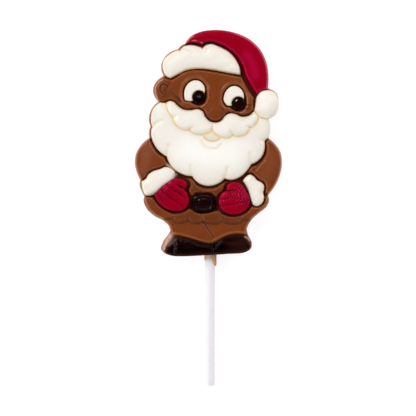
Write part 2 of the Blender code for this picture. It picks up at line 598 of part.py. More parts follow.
def make_body():
    """The milk chocolate: a base to the whole silhouette, raised fields fused on, cuts for eyes and stick."""
    silhouette = outline_between(SILHOUETTE_LEFT, SILHOUETTE_RIGHT)
    base = prism_mesh("milk_body", silhouette, 0.0, BASE_TOP)
    body = solid_object("milk_body", base, PARTS, MILK, CHOCOLATE_ROUGHNESS)
    fold = creased(SLEEVE_FOLDS, CREASE_SIZES["sleeve"])
    fields = {
        "face": (FACE, "face", face_forms, ()),
        "sleeve left": (SLEEVE_LEFT, "sleeve", None, ()),
        "sleeve right": (SLEEVE_RIGHT, "sleeve", fold, SLEEVE_FOLDS),
        "belly": (BELLY, "belly", None, ()),
        "coat": (COAT, "coat", coat_forms, HEM + PLACKET),
    }
    for name, (strokes, relief, forms, creases) in fields.items():
        loop = closed_outline(strokes)
        root = BASE_TOP - FUSE_DEPTH
        helper(name, relief_mesh(name, loop, root, RELIEFS[relief], forms, creases), FIELDS)
    helper("run out", rod_mesh("run out", COLLAR_RADIUS, COLLAR_END, COLLAR_ROOT, COLLAR_X), FIELDS)
    fused = body.modifiers.new("fused fields", "BOOLEAN")
    fused.operation = "UNION"
    fused.solver = "EXACT"
    fused.operand_type = "COLLECTION"
    fused.collection = FIELDS
    for side, strokes in EYE_SOCKETS.items():
        name = f"socket {side}"
        loop = grown(closed_outline(strokes, FINE_STEP), EYE_ROOM)
        cut(body, helper(name, prism_mesh(name, loop, SOCKET_FLOOR, CUT_TOP), CUTTERS))
    hole = rod_mesh("stick hole", STICK_RADIUS + GAP, 2 * COLLAR_END, STICK_INSIDE + GAP)
    cut(body, helper("stick hole", hole, CUTTERS))


def make_eyes():
    """Each white is a low dome with a round bite for the pupil, which is a steeper dome of dark chocolate."""
    floor = SOCKET_FLOOR + GAP
    for side, strokes in EYE_WHITES.items():
        loop = closed_outline(strokes, FINE_STEP)
        relief = RELIEFS["eye white"]
        white = inlay(f"eye_white_{side}", loop, relief, WHITE, floor=floor, step=FINE_RELIEF_STEP)
        room = oval(PUPILS[side], [PUPIL_RADIUS + GAP] * 2, step=SMALL_STEP)
        cut(white, helper(f"bite {side}", prism_mesh(f"bite {side}", room, 0.0, CUT_TOP), CUTTERS))
        loop = oval(PUPILS[side], [PUPIL_RADIUS] * 2, step=FINE_STEP)
        inlay(f"pupil_{side}", loop, RELIEFS["pupil"], DARK, DARK_ROUGHNESS, floor, step=FINE_STEP)


def make_hat():
    """The red hat, its white trim across the brow, and the pompom at the hat's end."""
    inlay("hat", outline_between(HAT_OUTER, HAT_INNER), RELIEFS["hat"], RED)
    loop = outline_between(TRIM_UPPER, TRIM_LOWER)
    forms = creased(TRIM_CREASES, CREASE_SIZES["trim"])
    inlay("hat_trim", loop, RELIEFS["trim"], WHITE, forms=forms, creases=TRIM_CREASES)
    loop = oval(POMPOM_CENTRE, POMPOM_RADII)
    inlay("pompom", loop, RELIEFS["pompom"], WHITE, step=FINE_RELIEF_STEP)


def make_beard():
    """Beard and moustache are one pour of white chocolate."""
    loop = outline_between(BEARD_UPPER, BEARD_LOWER)
    lines = MOUSTACHE_EDGE + BEARD_CREASES
    inlay("beard", loop, RELIEFS["beard"], WHITE, forms=beard_forms, creases=lines, step=FINE_RELIEF_STEP)


def make_hands():
    """White cuffs and red mittens, each mitten with the crease that marks off its thumb."""
    for side, strokes in {"left": CUFF_LEFT, "right": CUFF_RIGHT}.items():
        inlay(f"cuff_{side}", closed_outline(strokes), RELIEFS["cuff"], WHITE)
    hands = {"left": (MITTEN_LEFT, THUMB_LEFT), "right": (MITTEN_RIGHT, THUMB_RIGHT)}
    for side, (strokes, thumb) in hands.items():
        options = {"forms": creased(thumb, CREASE_SIZES["thumb"]), "creases": thumb, "step": FINE_RELIEF_STEP}
        inlay(f"mitten_{side}", closed_outline(strokes), RELIEFS["mitten"], RED, **options)


def make_dark_inlays():
    """The belt's buckle and the pair of shoes, which are one pour."""
    loop = oval(BUCKLE_CENTRE, BUCKLE_RADII, BUCKLE_SQUARENESS, FINE_STEP)
    inlay("buckle", loop, RELIEFS["buckle"], DARK, DARK_ROUGHNESS, forms=buckle_forms, step=SMALL_STEP)
    loop = outline_between(SHOES_UPPER, SHOES_LOWER)
    options = {"forms": creased(SHOE_PARTING, CREASE_SIZES["shoes"]), "creases": SHOE_PARTING}
    inlay("shoes", loop, RELIEFS["shoes"], DARK, DARK_ROUGHNESS, **options)


def make_stick():
    rod = rod_mesh("stick", STICK_RADIUS, STICK_END, STICK_INSIDE)
    stick = solid_object("stick", rod, PARTS, STICK_WHITE, STICK_ROUGHNESS)
    rounding = stick.modifiers.new("rounded ends", "BEVEL")
    rounding.width = STICK_ROUND * MM
    rounding.segments = 1
    rounding.limit_method = "ANGLE"


def place_all():
    """Puts the middle of the whole lollipop's box over the origin, by an empty that carries every piece."""
    silhouette = outline_between(SILHOUETTE_LEFT, SILHOUETTE_RIGHT)
    middle_x = (silhouette[:, 0].min() + silhouette[:, 0].max()) / 2
    middle_y = (STICK_END + silhouette[:, 1].max()) / 2
    carrier = bpy.data.objects.new("lollipop frame", None)
    PARTS.objects.link(carrier)
    carrier.location = (-middle_x * MM, -middle_y * MM, 0.0)
    for collection in (PARTS, FIELDS, CUTTERS):
        for obj in collection.objects:
            if obj != carrier:
                obj.parent = carrier


def new_collection(name):
    collection = bpy.data.collections.new(name)
    bpy.context.scene.collection.children.link(collection)
    return collection


for leftover in list(bpy.data.objects):
    bpy.data.objects.remove(leftover)

PARTS = new_collection("chocolate lollipop")
FIELDS = new_collection("fused fields")
CUTTERS = new_collection("cutters")

make_body()
make_eyes()
make_hat()
make_beard()
make_hands()
make_dark_inlays()
make_stick()
place_all()
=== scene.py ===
# Looks of a moulded chocolate lollipop: a bearded winter figure in a hat, on a round white stick.
# It lies on its flat back, and the camera looks straight down on it.
#
# Shapes are drawn in millimetres in mould coordinates: x from the stick's axis, y up from the soles,
# z up from the flat back. A stroke is a smooth curve through its few points, and two strokes meet in a
# corner. Every piece is a grid of points worked out as whole arrays and wrapped into a closed mesh.

import bmesh
import bpy
import numpy as np
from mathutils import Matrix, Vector


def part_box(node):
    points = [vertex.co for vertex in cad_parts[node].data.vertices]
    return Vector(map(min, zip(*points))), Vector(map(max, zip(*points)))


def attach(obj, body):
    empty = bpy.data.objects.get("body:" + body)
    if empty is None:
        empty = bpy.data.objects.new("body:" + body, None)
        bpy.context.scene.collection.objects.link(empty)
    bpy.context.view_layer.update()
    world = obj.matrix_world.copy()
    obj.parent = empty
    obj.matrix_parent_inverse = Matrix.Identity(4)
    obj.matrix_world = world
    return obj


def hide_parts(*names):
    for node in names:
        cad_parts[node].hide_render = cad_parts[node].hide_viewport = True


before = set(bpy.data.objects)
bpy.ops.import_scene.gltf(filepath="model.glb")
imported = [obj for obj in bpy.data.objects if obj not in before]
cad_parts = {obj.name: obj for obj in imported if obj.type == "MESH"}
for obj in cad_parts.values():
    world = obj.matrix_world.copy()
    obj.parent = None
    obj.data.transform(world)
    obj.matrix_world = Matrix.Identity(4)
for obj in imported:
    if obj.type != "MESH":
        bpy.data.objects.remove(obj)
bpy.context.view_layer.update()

mm = 0.001
mould = {
    "stickEnd": -52.8,        # where the stick's free end lies in mould coordinates
    "baseTop": 5.6,           # the milk chocolate under the inlays and in the grooves
    "inlayFloor": 5.4,        # inlays reach just into the base, so no air shows under them
    "reach": 3.0,             # how far outside an outline distances are still worked out
    "lineStep": 0.3,          # how finely strokes are divided, and more finely where they bound a mesh
    "fineStep": 0.1,
    "wallRows": (0.9, 0.66, 0.33),
    "backSteps": 4,           # rows of a rounded back edge
    "narrowest": 3,           # a strip is taken to be at least that many edges wide
    "bossReach": 1.6,         # how far a boss spreads, in its radii
    "waves": 9,               # sine waves of an unevenness, and how their lengths spread
    "waveSpread": (0.7, 1.5),
    "sharpAngle": 60,
    "weldGap": 2e-7,
    "formStep": 0.5,          # how finely the lines of a relief's forms are divided
    "blockSize": 4000000,     # point and segment pairs worked out at a time
}
stickLow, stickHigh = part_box("stick")
mouldOrigin = np.array([(stickLow.x + stickHigh.x) / 2, stickLow.y - mould["stickEnd"] * mm, 0.0])


# Lines and distances

def strokeCurve(points, step=mould["lineStep"]):
    # Hermite spline through the points on their chord lengths; the slope at a point is its two chords' mean,
    # each chord weighed by the other's length
    knots = np.array(points, float)
    chords = np.diff(knots, axis=0)
    lengths = np.hypot(*chords.T)
    at = np.concatenate([[0.0], np.cumsum(lengths)])
    where = np.linspace(0, at[-1], max(2, round(at[-1] / step) + 1))
    slopes = chords / lengths[:, None]
    if len(knots) == 2:
        return knots[0] + where[:, None] * slopes[0]
    weights = lengths[:, None]
    inner = (slopes[:-1] * weights[1:] + slopes[1:] * weights[:-1]) / (weights[1:] + weights[:-1])
    tangents = np.vstack([2 * slopes[0] - inner[0], inner, 2 * slopes[-1] - inner[-1]])
    span = np.clip(np.searchsorted(at, where, side="right") - 1, 0, len(lengths) - 1)
    width = lengths[span][:, None]
    t = ((where - at[span]) / lengths[span])[:, None]
    return (
        (2 * t**3 - 3 * t**2 + 1) * knots[span]
        + (t**3 - 2 * t**2 + t) * width * tangents[span]
        + (3 * t**2 - 2 * t**3) * knots[span + 1]
        + (t**3 - t**2) * width * tangents[span + 1]
    )


def joined(strokes, step=mould["lineStep"]):
    # one open line along all the strokes
    lines = [strokeCurve(points, step) for points in strokes]
    return np.vstack([lines[0]] + [line[1:] for line in lines[1:]])


def evenly(line, count):
    # the line again in equal lengths, by linear interpolation over its length
    at = np.concatenate([[0.0], np.cumsum(np.hypot(*np.diff(line, axis=0).T))])
    where = np.linspace(0, at[-1], count)
    return np.column_stack([np.interp(where, at, line[:, 0]), np.interp(where, at, line[:, 1])])


def loopOf(strokes, step=mould["lineStep"]):
    # a closed line through strokes that end where they began, without the repeated point
    return joined(strokes, step)[:-1]


def loopBetween(oneSide, otherSide, step=mould["lineStep"]):
    # a closed line along one side and back along the other, which share both ends
    return np.vstack([joined(oneSide, step)[:-1], joined(otherSide, step)[::-1][:-1]])


def oval(centre, radii, count=120, squareness=2.0):
    # superellipse: cosine and sine raised to 2 / squareness, sign kept
    angle = np.arange(count) * 2 * np.pi / count
    c, s = np.cos(angle), np.sin(angle)
    power = 2 / squareness
    x = centre[0] + radii[0] * np.sign(c) * np.abs(c) ** power
    y = centre[1] + radii[1] * np.sign(s) * np.abs(s) ** power
    return np.column_stack([x, y])


def nearest(points, line, closed=True):
    # smallest distance from each point to the line's straight stretches, a block of points at a time
    starts = line if closed else line[:-1]
    dx, dy = ((np.roll(line, -1, axis=0) if closed else line[1:]) - starts).T
    squared = np.maximum(dx * dx + dy * dy, 1e-12)
    found = np.empty(len(points))
    blocks = len(points) * len(starts) // mould["blockSize"] + 1
    for block in np.array_split(np.arange(len(points)), blocks):
        px = points[block, :1] - starts[:, 0]
        py = points[block, 1:] - starts[:, 1]
        share = np.clip((px * dx + py * dy) / squared, 0, 1)
        px -= share * dx
        py -= share * dy
        found[block] = np.sqrt((px * px + py * py).min(1))
    return found


def inside(points, loop):
    # a ray towards +x crosses the loop an odd number of times
    x1, y1 = loop.T
    x2, y2 = np.roll(loop, -1, axis=0).T
    rise = np.where(y2 == y1, 1.0, y2 - y1)
    found = np.empty(len(points), bool)
    blocks = len(points) * len(loop) // mould["blockSize"] + 1
    for block in np.array_split(np.arange(len(points)), blocks):
        x, y = points[block, :1], points[block, 1:]
        spans = (y1 > y) != (y2 > y)
        found[block] = (spans & (x < x1 + (y - y1) * (x2 - x1) / rise)).sum(1) % 2 == 1
    return found


def inwardsOf(points, loop):
    # distance to the loop, positive inside it; points further than the reach from its box get minus the reach
    reach = mould["reach"]
    near = ((points > loop.min(0) - reach) & (points < loop.max(0) + reach)).all(1)
    found = np.full(len(points), -reach)
    close = points[near]
    found[near] = nearest(close, loop) * np.where(inside(close, loop), 1, -1)
    return np.maximum(found, -reach)


# Forms of a relief, worked out at every point. The dictionaries of the pieces name them: a form has its
# lines or a distance inwards, and a half width; its rise, depth or share says how much of it there is. A pair
# like aside or upTo says where a fade starts or ends, and its width. What is uneven has a height, seed and
# wavelength

def eased(share):
    # cubic ease from 0 to 1
    share = np.clip(share, 0, 1)
    return share * share * (3 - 2 * share)


def fadeIn(value, start, width):
    # from 0 at the start up to 1 over the width
    return eased((value - start) / width)


def fadeOut(value, end, width):
    # from 1 down to 0 at the end over the width
    return eased((end - value) / width)


def crowned(inwards, width):
    # parabola from 0 at the outline to 1 at the width
    return 1 - (1 - np.clip(inwards / width, 0, 1)) ** 2


def swell(inwards, relief):
    # quarter-ellipse edge, then a parabola up to the crown, by distance from the outline
    edge = np.clip(inwards / relief["edgeWidth"], 0, 1)
    rounded = relief["edgeRise"] * np.sqrt(1 - (1 - edge) ** 2)
    return relief["side"] + rounded + relief["crownRise"] * crowned(inwards, relief["crownWidth"])


def bell(distance, halfWidth):
    # exponential of minus the squared distance over the half width
    return np.exp(-((distance / halfWidth) ** 2))


def band(distance, form, amount="share"):
    # the form's amount, fading away from its distance inwards
    return form[amount] * bell(distance - form["inwards"], form["halfWidth"])


def alongStrokes(points, strokes, halfWidth):
    # bell of the distance to the nearest stroke
    away = [nearest(points, strokeCurve(line, mould["formStep"]), False) for line in strokes]
    return bell(np.min(away, axis=0), halfWidth)


def along(points, form, amount, width="halfWidth"):
    # the form's amount, fading away from its lines
    return form[amount] * alongStrokes(points, form["lines"], form[width])


def bevelled(z, points, lines, bevel):
    # the height is held down beside the lines, where it rises from the foot at an even slope
    away = nearest(points, joined(lines), False)
    slant = eased((bevel["width"] - away) / bevel["width"])
    return np.minimum(z, bevel["foot"] + bevel["slope"] * away), slant


def boss(points, form):
    # squared cosine of the distance from the centre, scaled by the radii
    scaled = np.hypot(*((points - form["centre"]) / form["radii"]).T)
    return np.cos(np.clip(scaled, 0, mould["bossReach"]) * np.pi / (2 * mould["bossReach"])) ** 2


def unevenness(points, height, seed, wavelength):
    # twice the mean of a few sine waves of about that length, their directions and phases drawn by the seed
    draw = np.random.default_rng(seed)
    count = mould["waves"]
    angle = draw.uniform(0, 2 * np.pi, count)
    lengths = wavelength * draw.uniform(*mould["waveSpread"], count)
    travel = points @ (np.array([np.cos(angle), np.sin(angle)]) * 2 * np.pi / lengths)
    return height * (np.sin(travel + draw.uniform(0, 2 * np.pi, count)).mean(1) * 2)


# Meshes

def wrappedMesh(name, grid, marks):
    # rows run from one closed end to the other, columns close on themselves; points that coincide are merged
    rows, columns = grid.shape[:2]
    here = np.arange(rows * columns).reshape(rows, columns)
    beside = np.roll(here, -1, axis=1)
    quads = np.stack([here[:-1], beside[:-1], beside[1:], here[1:]], axis=-1).reshape(-1, 4)
    mesh = bpy.data.meshes.new(name)
    mesh.vertices.add(here.size)
    mesh.vertices.foreach_set("co", (grid.reshape(-1, 3) * mm + mouldOrigin).ravel())
    mesh.loops.add(quads.size)
    mesh.loops.foreach_set("vertex_index", quads.ravel())
    mesh.polygons.add(len(quads))
    mesh.polygons.foreach_set("loop_start", np.arange(0, quads.size, 4))
    mesh.update(calc_edges=True)
    for mark, values in marks.items():
        kept = mesh.attributes.new(mark, "FLOAT", "POINT")
        kept.data.foreach_set("value", values.ravel().astype(np.float32))
    welded = bmesh.new()
    welded.from_mesh(mesh)
    bmesh.ops.remove_doubles(welded, verts=welded.verts, dist=mould["weldGap"])
    bmesh.ops.recalc_face_normals(welded, faces=welded.faces)
    welded.to_mesh(mesh)
    welded.free()
    mesh.shade_smooth()
    mesh.set_sharp_from_angle(angle=np.radians(mould["sharpAngle"]))
    return mesh


def placed(name, content):
    # an object that holds the mesh, lamp or camera
    made = bpy.data.objects.new(name, content)
    bpy.context.scene.collection.objects.link(made)
    return made


def standIn(name, grid, marks, kind, node):
    # puts the mesh in the scene as a piece that stands for the named solid
    mesh = wrappedMesh(name, grid, marks)
    mesh.materials.append(finishes[kind])
    piece = placed(name, mesh)
    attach(piece, "root")
    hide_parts(node)
    print(name, len(mesh.polygons), "faces")


def edgeSteps(width, count=7):
    # distances that divide a quarter round of that width into equal angles
    return width * (1 - np.cos(np.linspace(0, np.pi / 2, count)))


def island(name, loop, centre, height, kind, node, spokes=240, rings=40, edgeWidth=0.8,
           floor=mould["inlayFloor"]):
    # point (ring, spoke) = centre + share of the spoke; rings are close together over the rounded edge.
    # Rows: middle of the floor, its rim, the wall, the edge and the field up to the middle of the top
    outline = evenly(np.vstack([loop, loop[:1]]), spokes + 1)[:-1]
    spoke = outline - centre
    edge = 1 - edgeSteps(edgeWidth)[:, None] / np.hypot(*spoke.T)
    shares = np.vstack([edge, np.linspace(1, 0, rings + 1)[1:, None] * edge[-1]])
    flat = centre + shares[..., None] * spoke
    z, marks = height(flat.reshape(-1, 2), nearest(flat.reshape(-1, 2), outline))
    top = np.dstack([flat, z.reshape(shares.shape)])
    rim = top[0]
    low = rim * [1, 1, 0] + [0, 0, floor]
    pole = np.array([*centre, floor]) + low * 0
    below = [pole, low, (low + rim) / 2]
    onTop = {mark: values.reshape(shares.shape) for mark, values in marks.items()}
    # the marks at the rim go on down the wall
    marks = {
        mark: np.vstack([np.repeat(values[:1], len(below), axis=0), values])
        for mark, values in onTop.items()
    }
    standIn(name, np.stack([*below, *top]), marks, kind, node)


def strip(name, sides, rows, height, kind, node, edgeWidth, floor=mould["inlayFloor"], across=40,
          floorColumns=4, backRound=0.0):
    # point (row, column) = rail A + share * (rail B - rail A); shares are close together beside both rails.
    # Columns: the top from rail A to B, down the wall, back under the floor, and up the wall
    railA, railB = [evenly(joined(side, mould["fineStep"]), rows) for side in sides]
    width = np.maximum(np.hypot(*(railB - railA).T), mould["narrowest"] * edgeWidth)[:, None]
    span = (railB - railA)[:, None]
    edge = edgeSteps(edgeWidth) / width
    inner = edge[:, -1:] + (1 - 2 * edge[:, -1:]) * np.linspace(0, 1, across + 1)[1:-1]
    shares = np.hstack([edge, inner, 1 - edge[:, ::-1]])
    flat = railA[:, None] + shares[..., None] * span
    z, marks = height(flat.reshape(-1, 2))
    top = np.dstack([flat, z.reshape(shares.shape)])
    turn = np.linspace(0, np.pi / 2, mould["backSteps"] if backRound else 1)
    level = np.zeros(len(mould["wallRows"]))
    wallZ = np.concatenate([mould["wallRows"], np.zeros(len(turn))])
    wallIn = np.concatenate([level, backRound * (1 - np.cos(turn))])
    lowest = floor + np.concatenate([level, backRound * (1 - np.sin(turn))])
    inset = np.minimum(wallIn / width, 0.5)[..., None] * span
    wallA = np.dstack([railA[:, None] + inset, lowest + wallZ * (top[:, :1, 2] - floor)])
    wallB = np.dstack([railB[:, None] - inset, lowest + wallZ * (top[:, -1:, 2] - floor)])
    back = np.linspace(0, 1, floorColumns + 2)[None, 1:-1, None]
    under = wallB[:, -1:] + back * (wallA[:, -1:] - wallB[:, -1:])
    # the marks fade out down both walls, and there are none underneath
    fade = wallZ**2
    none = np.zeros(under.shape[:2])
    onTop = {mark: values.reshape(shares.shape) for mark, values in marks.items()}
    marks = {
        mark: np.hstack([values, values[:, -1:] * fade, none, values[:, :1] * fade[::-1]])
        for mark, values in onTop.items()
    }
    standIn(name, np.concatenate([top, wallB, under, wallA[:, ::-1]], axis=1), marks, kind, node)


# Shader building

class Tone:
    # a shader socket that takes part in sums and products, each of which adds a Math node
    def __init__(self, paint, socket):
        self.paint = paint
        self.socket = socket

    def math(self, operation, first, second):
        return self.paint.node("ShaderNodeMath", {"operation": operation}, {0: first, 1: second})

    def __add__(self, other):
        return self.math("ADD", self, other)

    def __sub__(self, other):
        return self.math("SUBTRACT", self, other)

    def __rsub__(self, other):
        return self.math("SUBTRACT", other, self)

    def __mul__(self, other):
        return self.math("MULTIPLY", self, other)

    __radd__ = __add__
    __rmul__ = __mul__


class Paint:
    # the nodes of a material or a world; node() adds any node, sets it up, and gives back one of its outputs
    def __init__(self, owner):
        owner.use_nodes = True
        self.tree = owner.node_tree

    def node(self, kind, settings, sockets, output=0):
        made = self.tree.nodes.new(kind)
        for name, value in settings.items():
            setattr(made, name, value)
        self.plug(made, sockets)
        return Tone(self, made.outputs[output])

    def plug(self, node, sockets):
        for name, value in sockets.items():
            if isinstance(value, Tone):
                self.tree.links.new(value.socket, node.inputs[name])
            else:
                node.inputs[name].default_value = value

    def noise(self, scale, detail, stretch=(1, 1, 1)):
        # noise with about that many waves a metre, from 0 to 1 with its middle at 0.5
        place = self.node("ShaderNodeTexCoord", {}, {}, "Object")
        place = self.node("ShaderNodeMapping", {}, {"Vector": place, "Scale": stretch})
        return self.node("ShaderNodeTexNoise", {}, {"Vector": place, "Scale": scale, "Detail": detail})

    def mark(self, name):
        return self.node("ShaderNodeAttribute", {"attribute_name": name}, {}, "Fac")

    def mixed(self, share, first, second):
        colours = [colour if isinstance(colour, Tone) else (*colour, 1.0) for colour in (first, second)]
        return self.node("ShaderNodeMix", {"data_type": "RGBA"}, {0: share, 6: colours[0], 7: colours[1]}, 2)


# The finishes: the first colour varies towards the second with one of the noises, by contrast and shift. Each
# layer is a colour laid over it where the mesh is marked so, in that order. The gloss is dulled by the noises
# and by marks. A noise has waves a metre, detail and stretch
looks = {
    # milk chocolate: soft clouds and specks; painted shade in the grooves, painted highlights along the
    # fields' edges and the silhouette, and a painted sheen on the upper arms
    "milk": {
        "name": "milkChocolate",
        "slot": "milk_chocolate",
        "noises": {"clouds": (150, 2.0), "specks": (1500, 4.0)},
        "first": (0.182, 0.0395, 0.0082),
        "second": (0.205, 0.050, 0.0135),
        "varies": ("clouds", 1.5, -0.4),
        "layers": {
            "paintedArmSheen": (1.0, (0.27, 0.088, 0.048)),
            "paintedLight": (0.7, (0.40, 0.125, 0.042)),
            "groove": (0.9, (0.030, 0.0055, 0.0008)),
            "stain": (1.0, (0.14, 0.0012, 0.008)),
            "rim": (1.0, (0.68, 0.42, 0.34)),
            "seam": (1.0, (0.72, 0.55, 0.40)),
        },
        "roughness": 0.27,
        "dulled": {"clouds": 0.12, "specks": 0.08, "groove": 0.3},
        "bumps": {"clouds": 2, "specks": 1},
        "bumpHeight": 0.03,
        "constants": {
            "Subsurface Weight": 0.05,
            "Subsurface Radius": (1.0, 0.35, 0.15),
            "Subsurface Scale": 0.5 * mm,
            "Specular IOR Level": 0.33,
            "Specular Tint": (1.0, 0.58, 0.46, 1.0),
        },
    },
    # white chocolate: creamy; palest under a painted highlight, yellower under painted shade in creases,
    # browner towards its outlines as painted shade of the rounded edge and as the thinner chocolate there
    "white": {
        "name": "whiteChocolate",
        "slot": "white_chocolate",
        "noises": {"clouds": (110, 2.0), "specks": (1300, 3.0)},
        "first": (0.87, 0.832, 0.77),
        "second": (0.86, 0.812, 0.725),
        "varies": ("clouds", 1.4, -0.3),
        "layers": {
            "paintedSheen": (1.0, (0.97, 0.94, 0.885)),
            "thin": (1.0, (0.74, 0.64, 0.53)),
            "lens": (1.0, (0.75, 0.705, 0.585)),
            "crease": (1.0, (0.78, 0.57, 0.26)),
            "edge": (1.0, (0.60, 0.36, 0.13)),
            "stain": (1.0, (0.30, 0.02, 0.05)),
        },
        "roughness": 0.36,
        "dulled": {"clouds": 0.1, "specks": 0.06},
        "bumps": {"clouds": 2, "specks": 1},
        "bumpHeight": 0.02,
        "constants": {
            "Subsurface Weight": 0.2,
            "Subsurface Radius": (1.0, 0.75, 0.45),
            "Subsurface Scale": 1.0 * mm,
            "Specular IOR Level": 0.4,
        },
    },
    # red chocolate: deep crimson, streaked where it was brushed into the mould, with a painted sheen, painted
    # shade in its creases and painted highlights on the hat's edges
    "red hat": {
        "name": "redHat",
        "slot": "red_chocolate",
        "noises": {"clouds": (140, 2.0), "streaks": (500, 3.0, (1.0, 0.25, 1.0))},
        "first": (0.335, 0.0004, 0.0125),
        "second": (0.21, 0.0002, 0.0065),
        "varies": ("clouds", 1.2, -0.3),
        "layers": {
            "paintedSheen": (1.0, (0.48, 0.004, 0.066)),
            "crease": (1.0, (0.05, 0.0001, 0.0015)),
            "paintedHighlight": (1.0, (0.66, 0.13, 0.15)),
        },
        "roughness": 0.25,
        "dulled": {"clouds": 0.14, "streaks": 0.08},
        "bumps": {"clouds": 1, "streaks": 1},
        "bumpHeight": 0.03,
        "constants": {
            "Subsurface Weight": 0.04,
            "Subsurface Radius": (1.0, 0.1, 0.15),
            "Subsurface Scale": 0.4 * mm,
            "Specular IOR Level": 0.36,
            "Specular Tint": (1.0, 0.12, 0.36, 1.0),
        },
    },
    # dark chocolate: nearly black and glossy, with reddish streaks along the shoes, and painted shade in its
    # creases and grooves
    "dark": {
        "name": "darkChocolate",
        "slot": "dark_chocolate",
        "noises": {"clouds": (160, 2.0), "streaks": (800, 3.0, (0.12, 1.0, 1.0))},
        "first": (0.0026, 0.0004, 0.0003),
        "second": (0.017, 0.0034, 0.0024),
        "varies": ("streaks", 3.0, -1.26),
        "layers": {
            "warm": (1.0, (0.0095, 0.0016, 0.0010)),
            "thin": (1.0, (0.085, 0.028, 0.017)),
            "crease": (1.0, (0.0012, 0.0002, 0.0002)),
        },
        "roughness": 0.13,
        "dulled": {"clouds": 0.06, "streaks": 0.2, "crease": 0.3, "thin": 0.2},
        "bumps": {"clouds": 1, "streaks": 1},
        "bumpHeight": 0.012,
        "constants": {"Specular IOR Level": 0.15, "Specular Tint": (1.0, 0.7, 0.8, 1.0)},
        "glossMark": "glint",
    },
    # white stick: faint lengthwise lines in a satin surface
    "stick": {
        "name": "stickWhite",
        "slot": "stick_white",
        "noises": {"clouds": (90, 2.0), "lines": (900, 3.0, (1.0, 0.02, 1.0))},
        "first": (0.88, 0.86, 0.91),
        "second": (0.80, 0.775, 0.83),
        "varies": ("lines", 0.9, -0.1),
        "layers": {},
        "roughness": 0.38,
        "dulled": {"clouds": 0.1},
        "bumps": {"lines": 1},
        "bumpHeight": 0.01,
        "constants": {
            "Subsurface Weight": 0.15,
            "Subsurface Radius": (1.0, 1.0, 1.0),
            "Subsurface Scale": 0.8 * mm,
        },
    },
    # milk chocolate that ran out round the stick: tan where it is a film, dark amber where it is a bead
    "film": {
        "name": "milkFilm",
        "slot": "milk_chocolate",
        "noises": {"clouds": (700, 2.0)},
        "first": (0.84, 0.39, 0.12),
        "second": (0.84, 0.39, 0.12),
        "varies": ("clouds", 1.0, 0.0),
        "layers": {"thick": (1.0, (0.46, 0.12, 0.006)), "cap": (1.0, (0.76, 0.64, 0.62))},
        "roughness": 0.33,
        "dulled": {"clouds": 0.1},
        "bumps": {"clouds": 1},
        "bumpHeight": 0.03,
        "constants": {
            "Subsurface Weight": 0.1,
            "Subsurface Radius": (1.0, 0.5, 0.2),
            "Subsurface Scale": 0.5 * mm,
            "Specular IOR Level": 0.3,
            "Specular Tint": (1.0, 0.7, 0.4, 1.0),
        },
    },
}
# the mittens' red is the hat's with less gloss
looks["red mittens"] = {
    **looks["red hat"],
    "name": "redMittens",
    "constants": {**looks["red hat"]["constants"], "Specular IOR Level": 0.25},
}


def finish(look):
    # colour: the two colours mixed by a noise, then each layer mixed in by its mark.
    # Roughness and bump height: sums of the noises and marks, each times its share
    material = bpy.data.materials.new(look["name"])
    paint = Paint(material)
    noises = {name: paint.noise(*waves) for name, waves in look["noises"].items()}
    noise, contrast, shift = look["varies"]
    colour = paint.mixed(noises[noise] * contrast + shift, look["first"], look["second"])
    for mark, (share, layer) in look["layers"].items():
        colour = paint.mixed(paint.mark(mark) * share, colour, layer)
    roughness = look["roughness"]
    for name, share in look["dulled"].items():
        roughness = roughness + share * (noises[name] - 0.5 if name in noises else paint.mark(name))
    height = sum(noises[name] * share for name, share in look["bumps"].items())
    distance = look["bumpHeight"] * mm
    normal = paint.node("ShaderNodeBump", {}, {"Height": height, "Strength": 1.0, "Distance": distance})
    shader = paint.tree.nodes["Principled BSDF"]
    paint.plug(shader, {"Base Color": colour, "Roughness": roughness, "Normal": normal, **look["constants"]})
    if "glossMark" in look:
        paint.plug(shader, {"Coat Weight": paint.mark(look["glossMark"])})
    return material


# painted shade along the outline of every white piece, where the chocolate is also thinner: a wide faint
# band, and a narrow strong one
whiteEdges = {
    "thin": {"share": 0.42, "width": 3.2},
    "edge": {"inwards": 0.0, "halfWidth": 0.2, "share": 0.8},
    "creaseUpTo": 0.8,
}


def whiteMarks(inwards, crease=0.0, lens=0.0, paintedSheen=0.0, stain=0.0):
    # painted shade along the outline, where the chocolate is also thinner, painted shade in creases, the
    # mouth's lens, a painted sheen, and a red touch of the hat
    thin = whiteEdges["thin"]
    marks = {
        "thin": thin["share"] * (1 - eased(inwards / thin["width"])),
        "edge": band(inwards, whiteEdges["edge"]),
        "crease": np.clip(crease, 0, whiteEdges["creaseUpTo"]),
        "lens": np.clip(lens, 0, 1),
        "paintedSheen": np.clip(paintedSheen, 0, 1),
        "stain": stain,
    }
    return {mark: values + 0 * inwards for mark, values in marks.items()}


# The milk chocolate

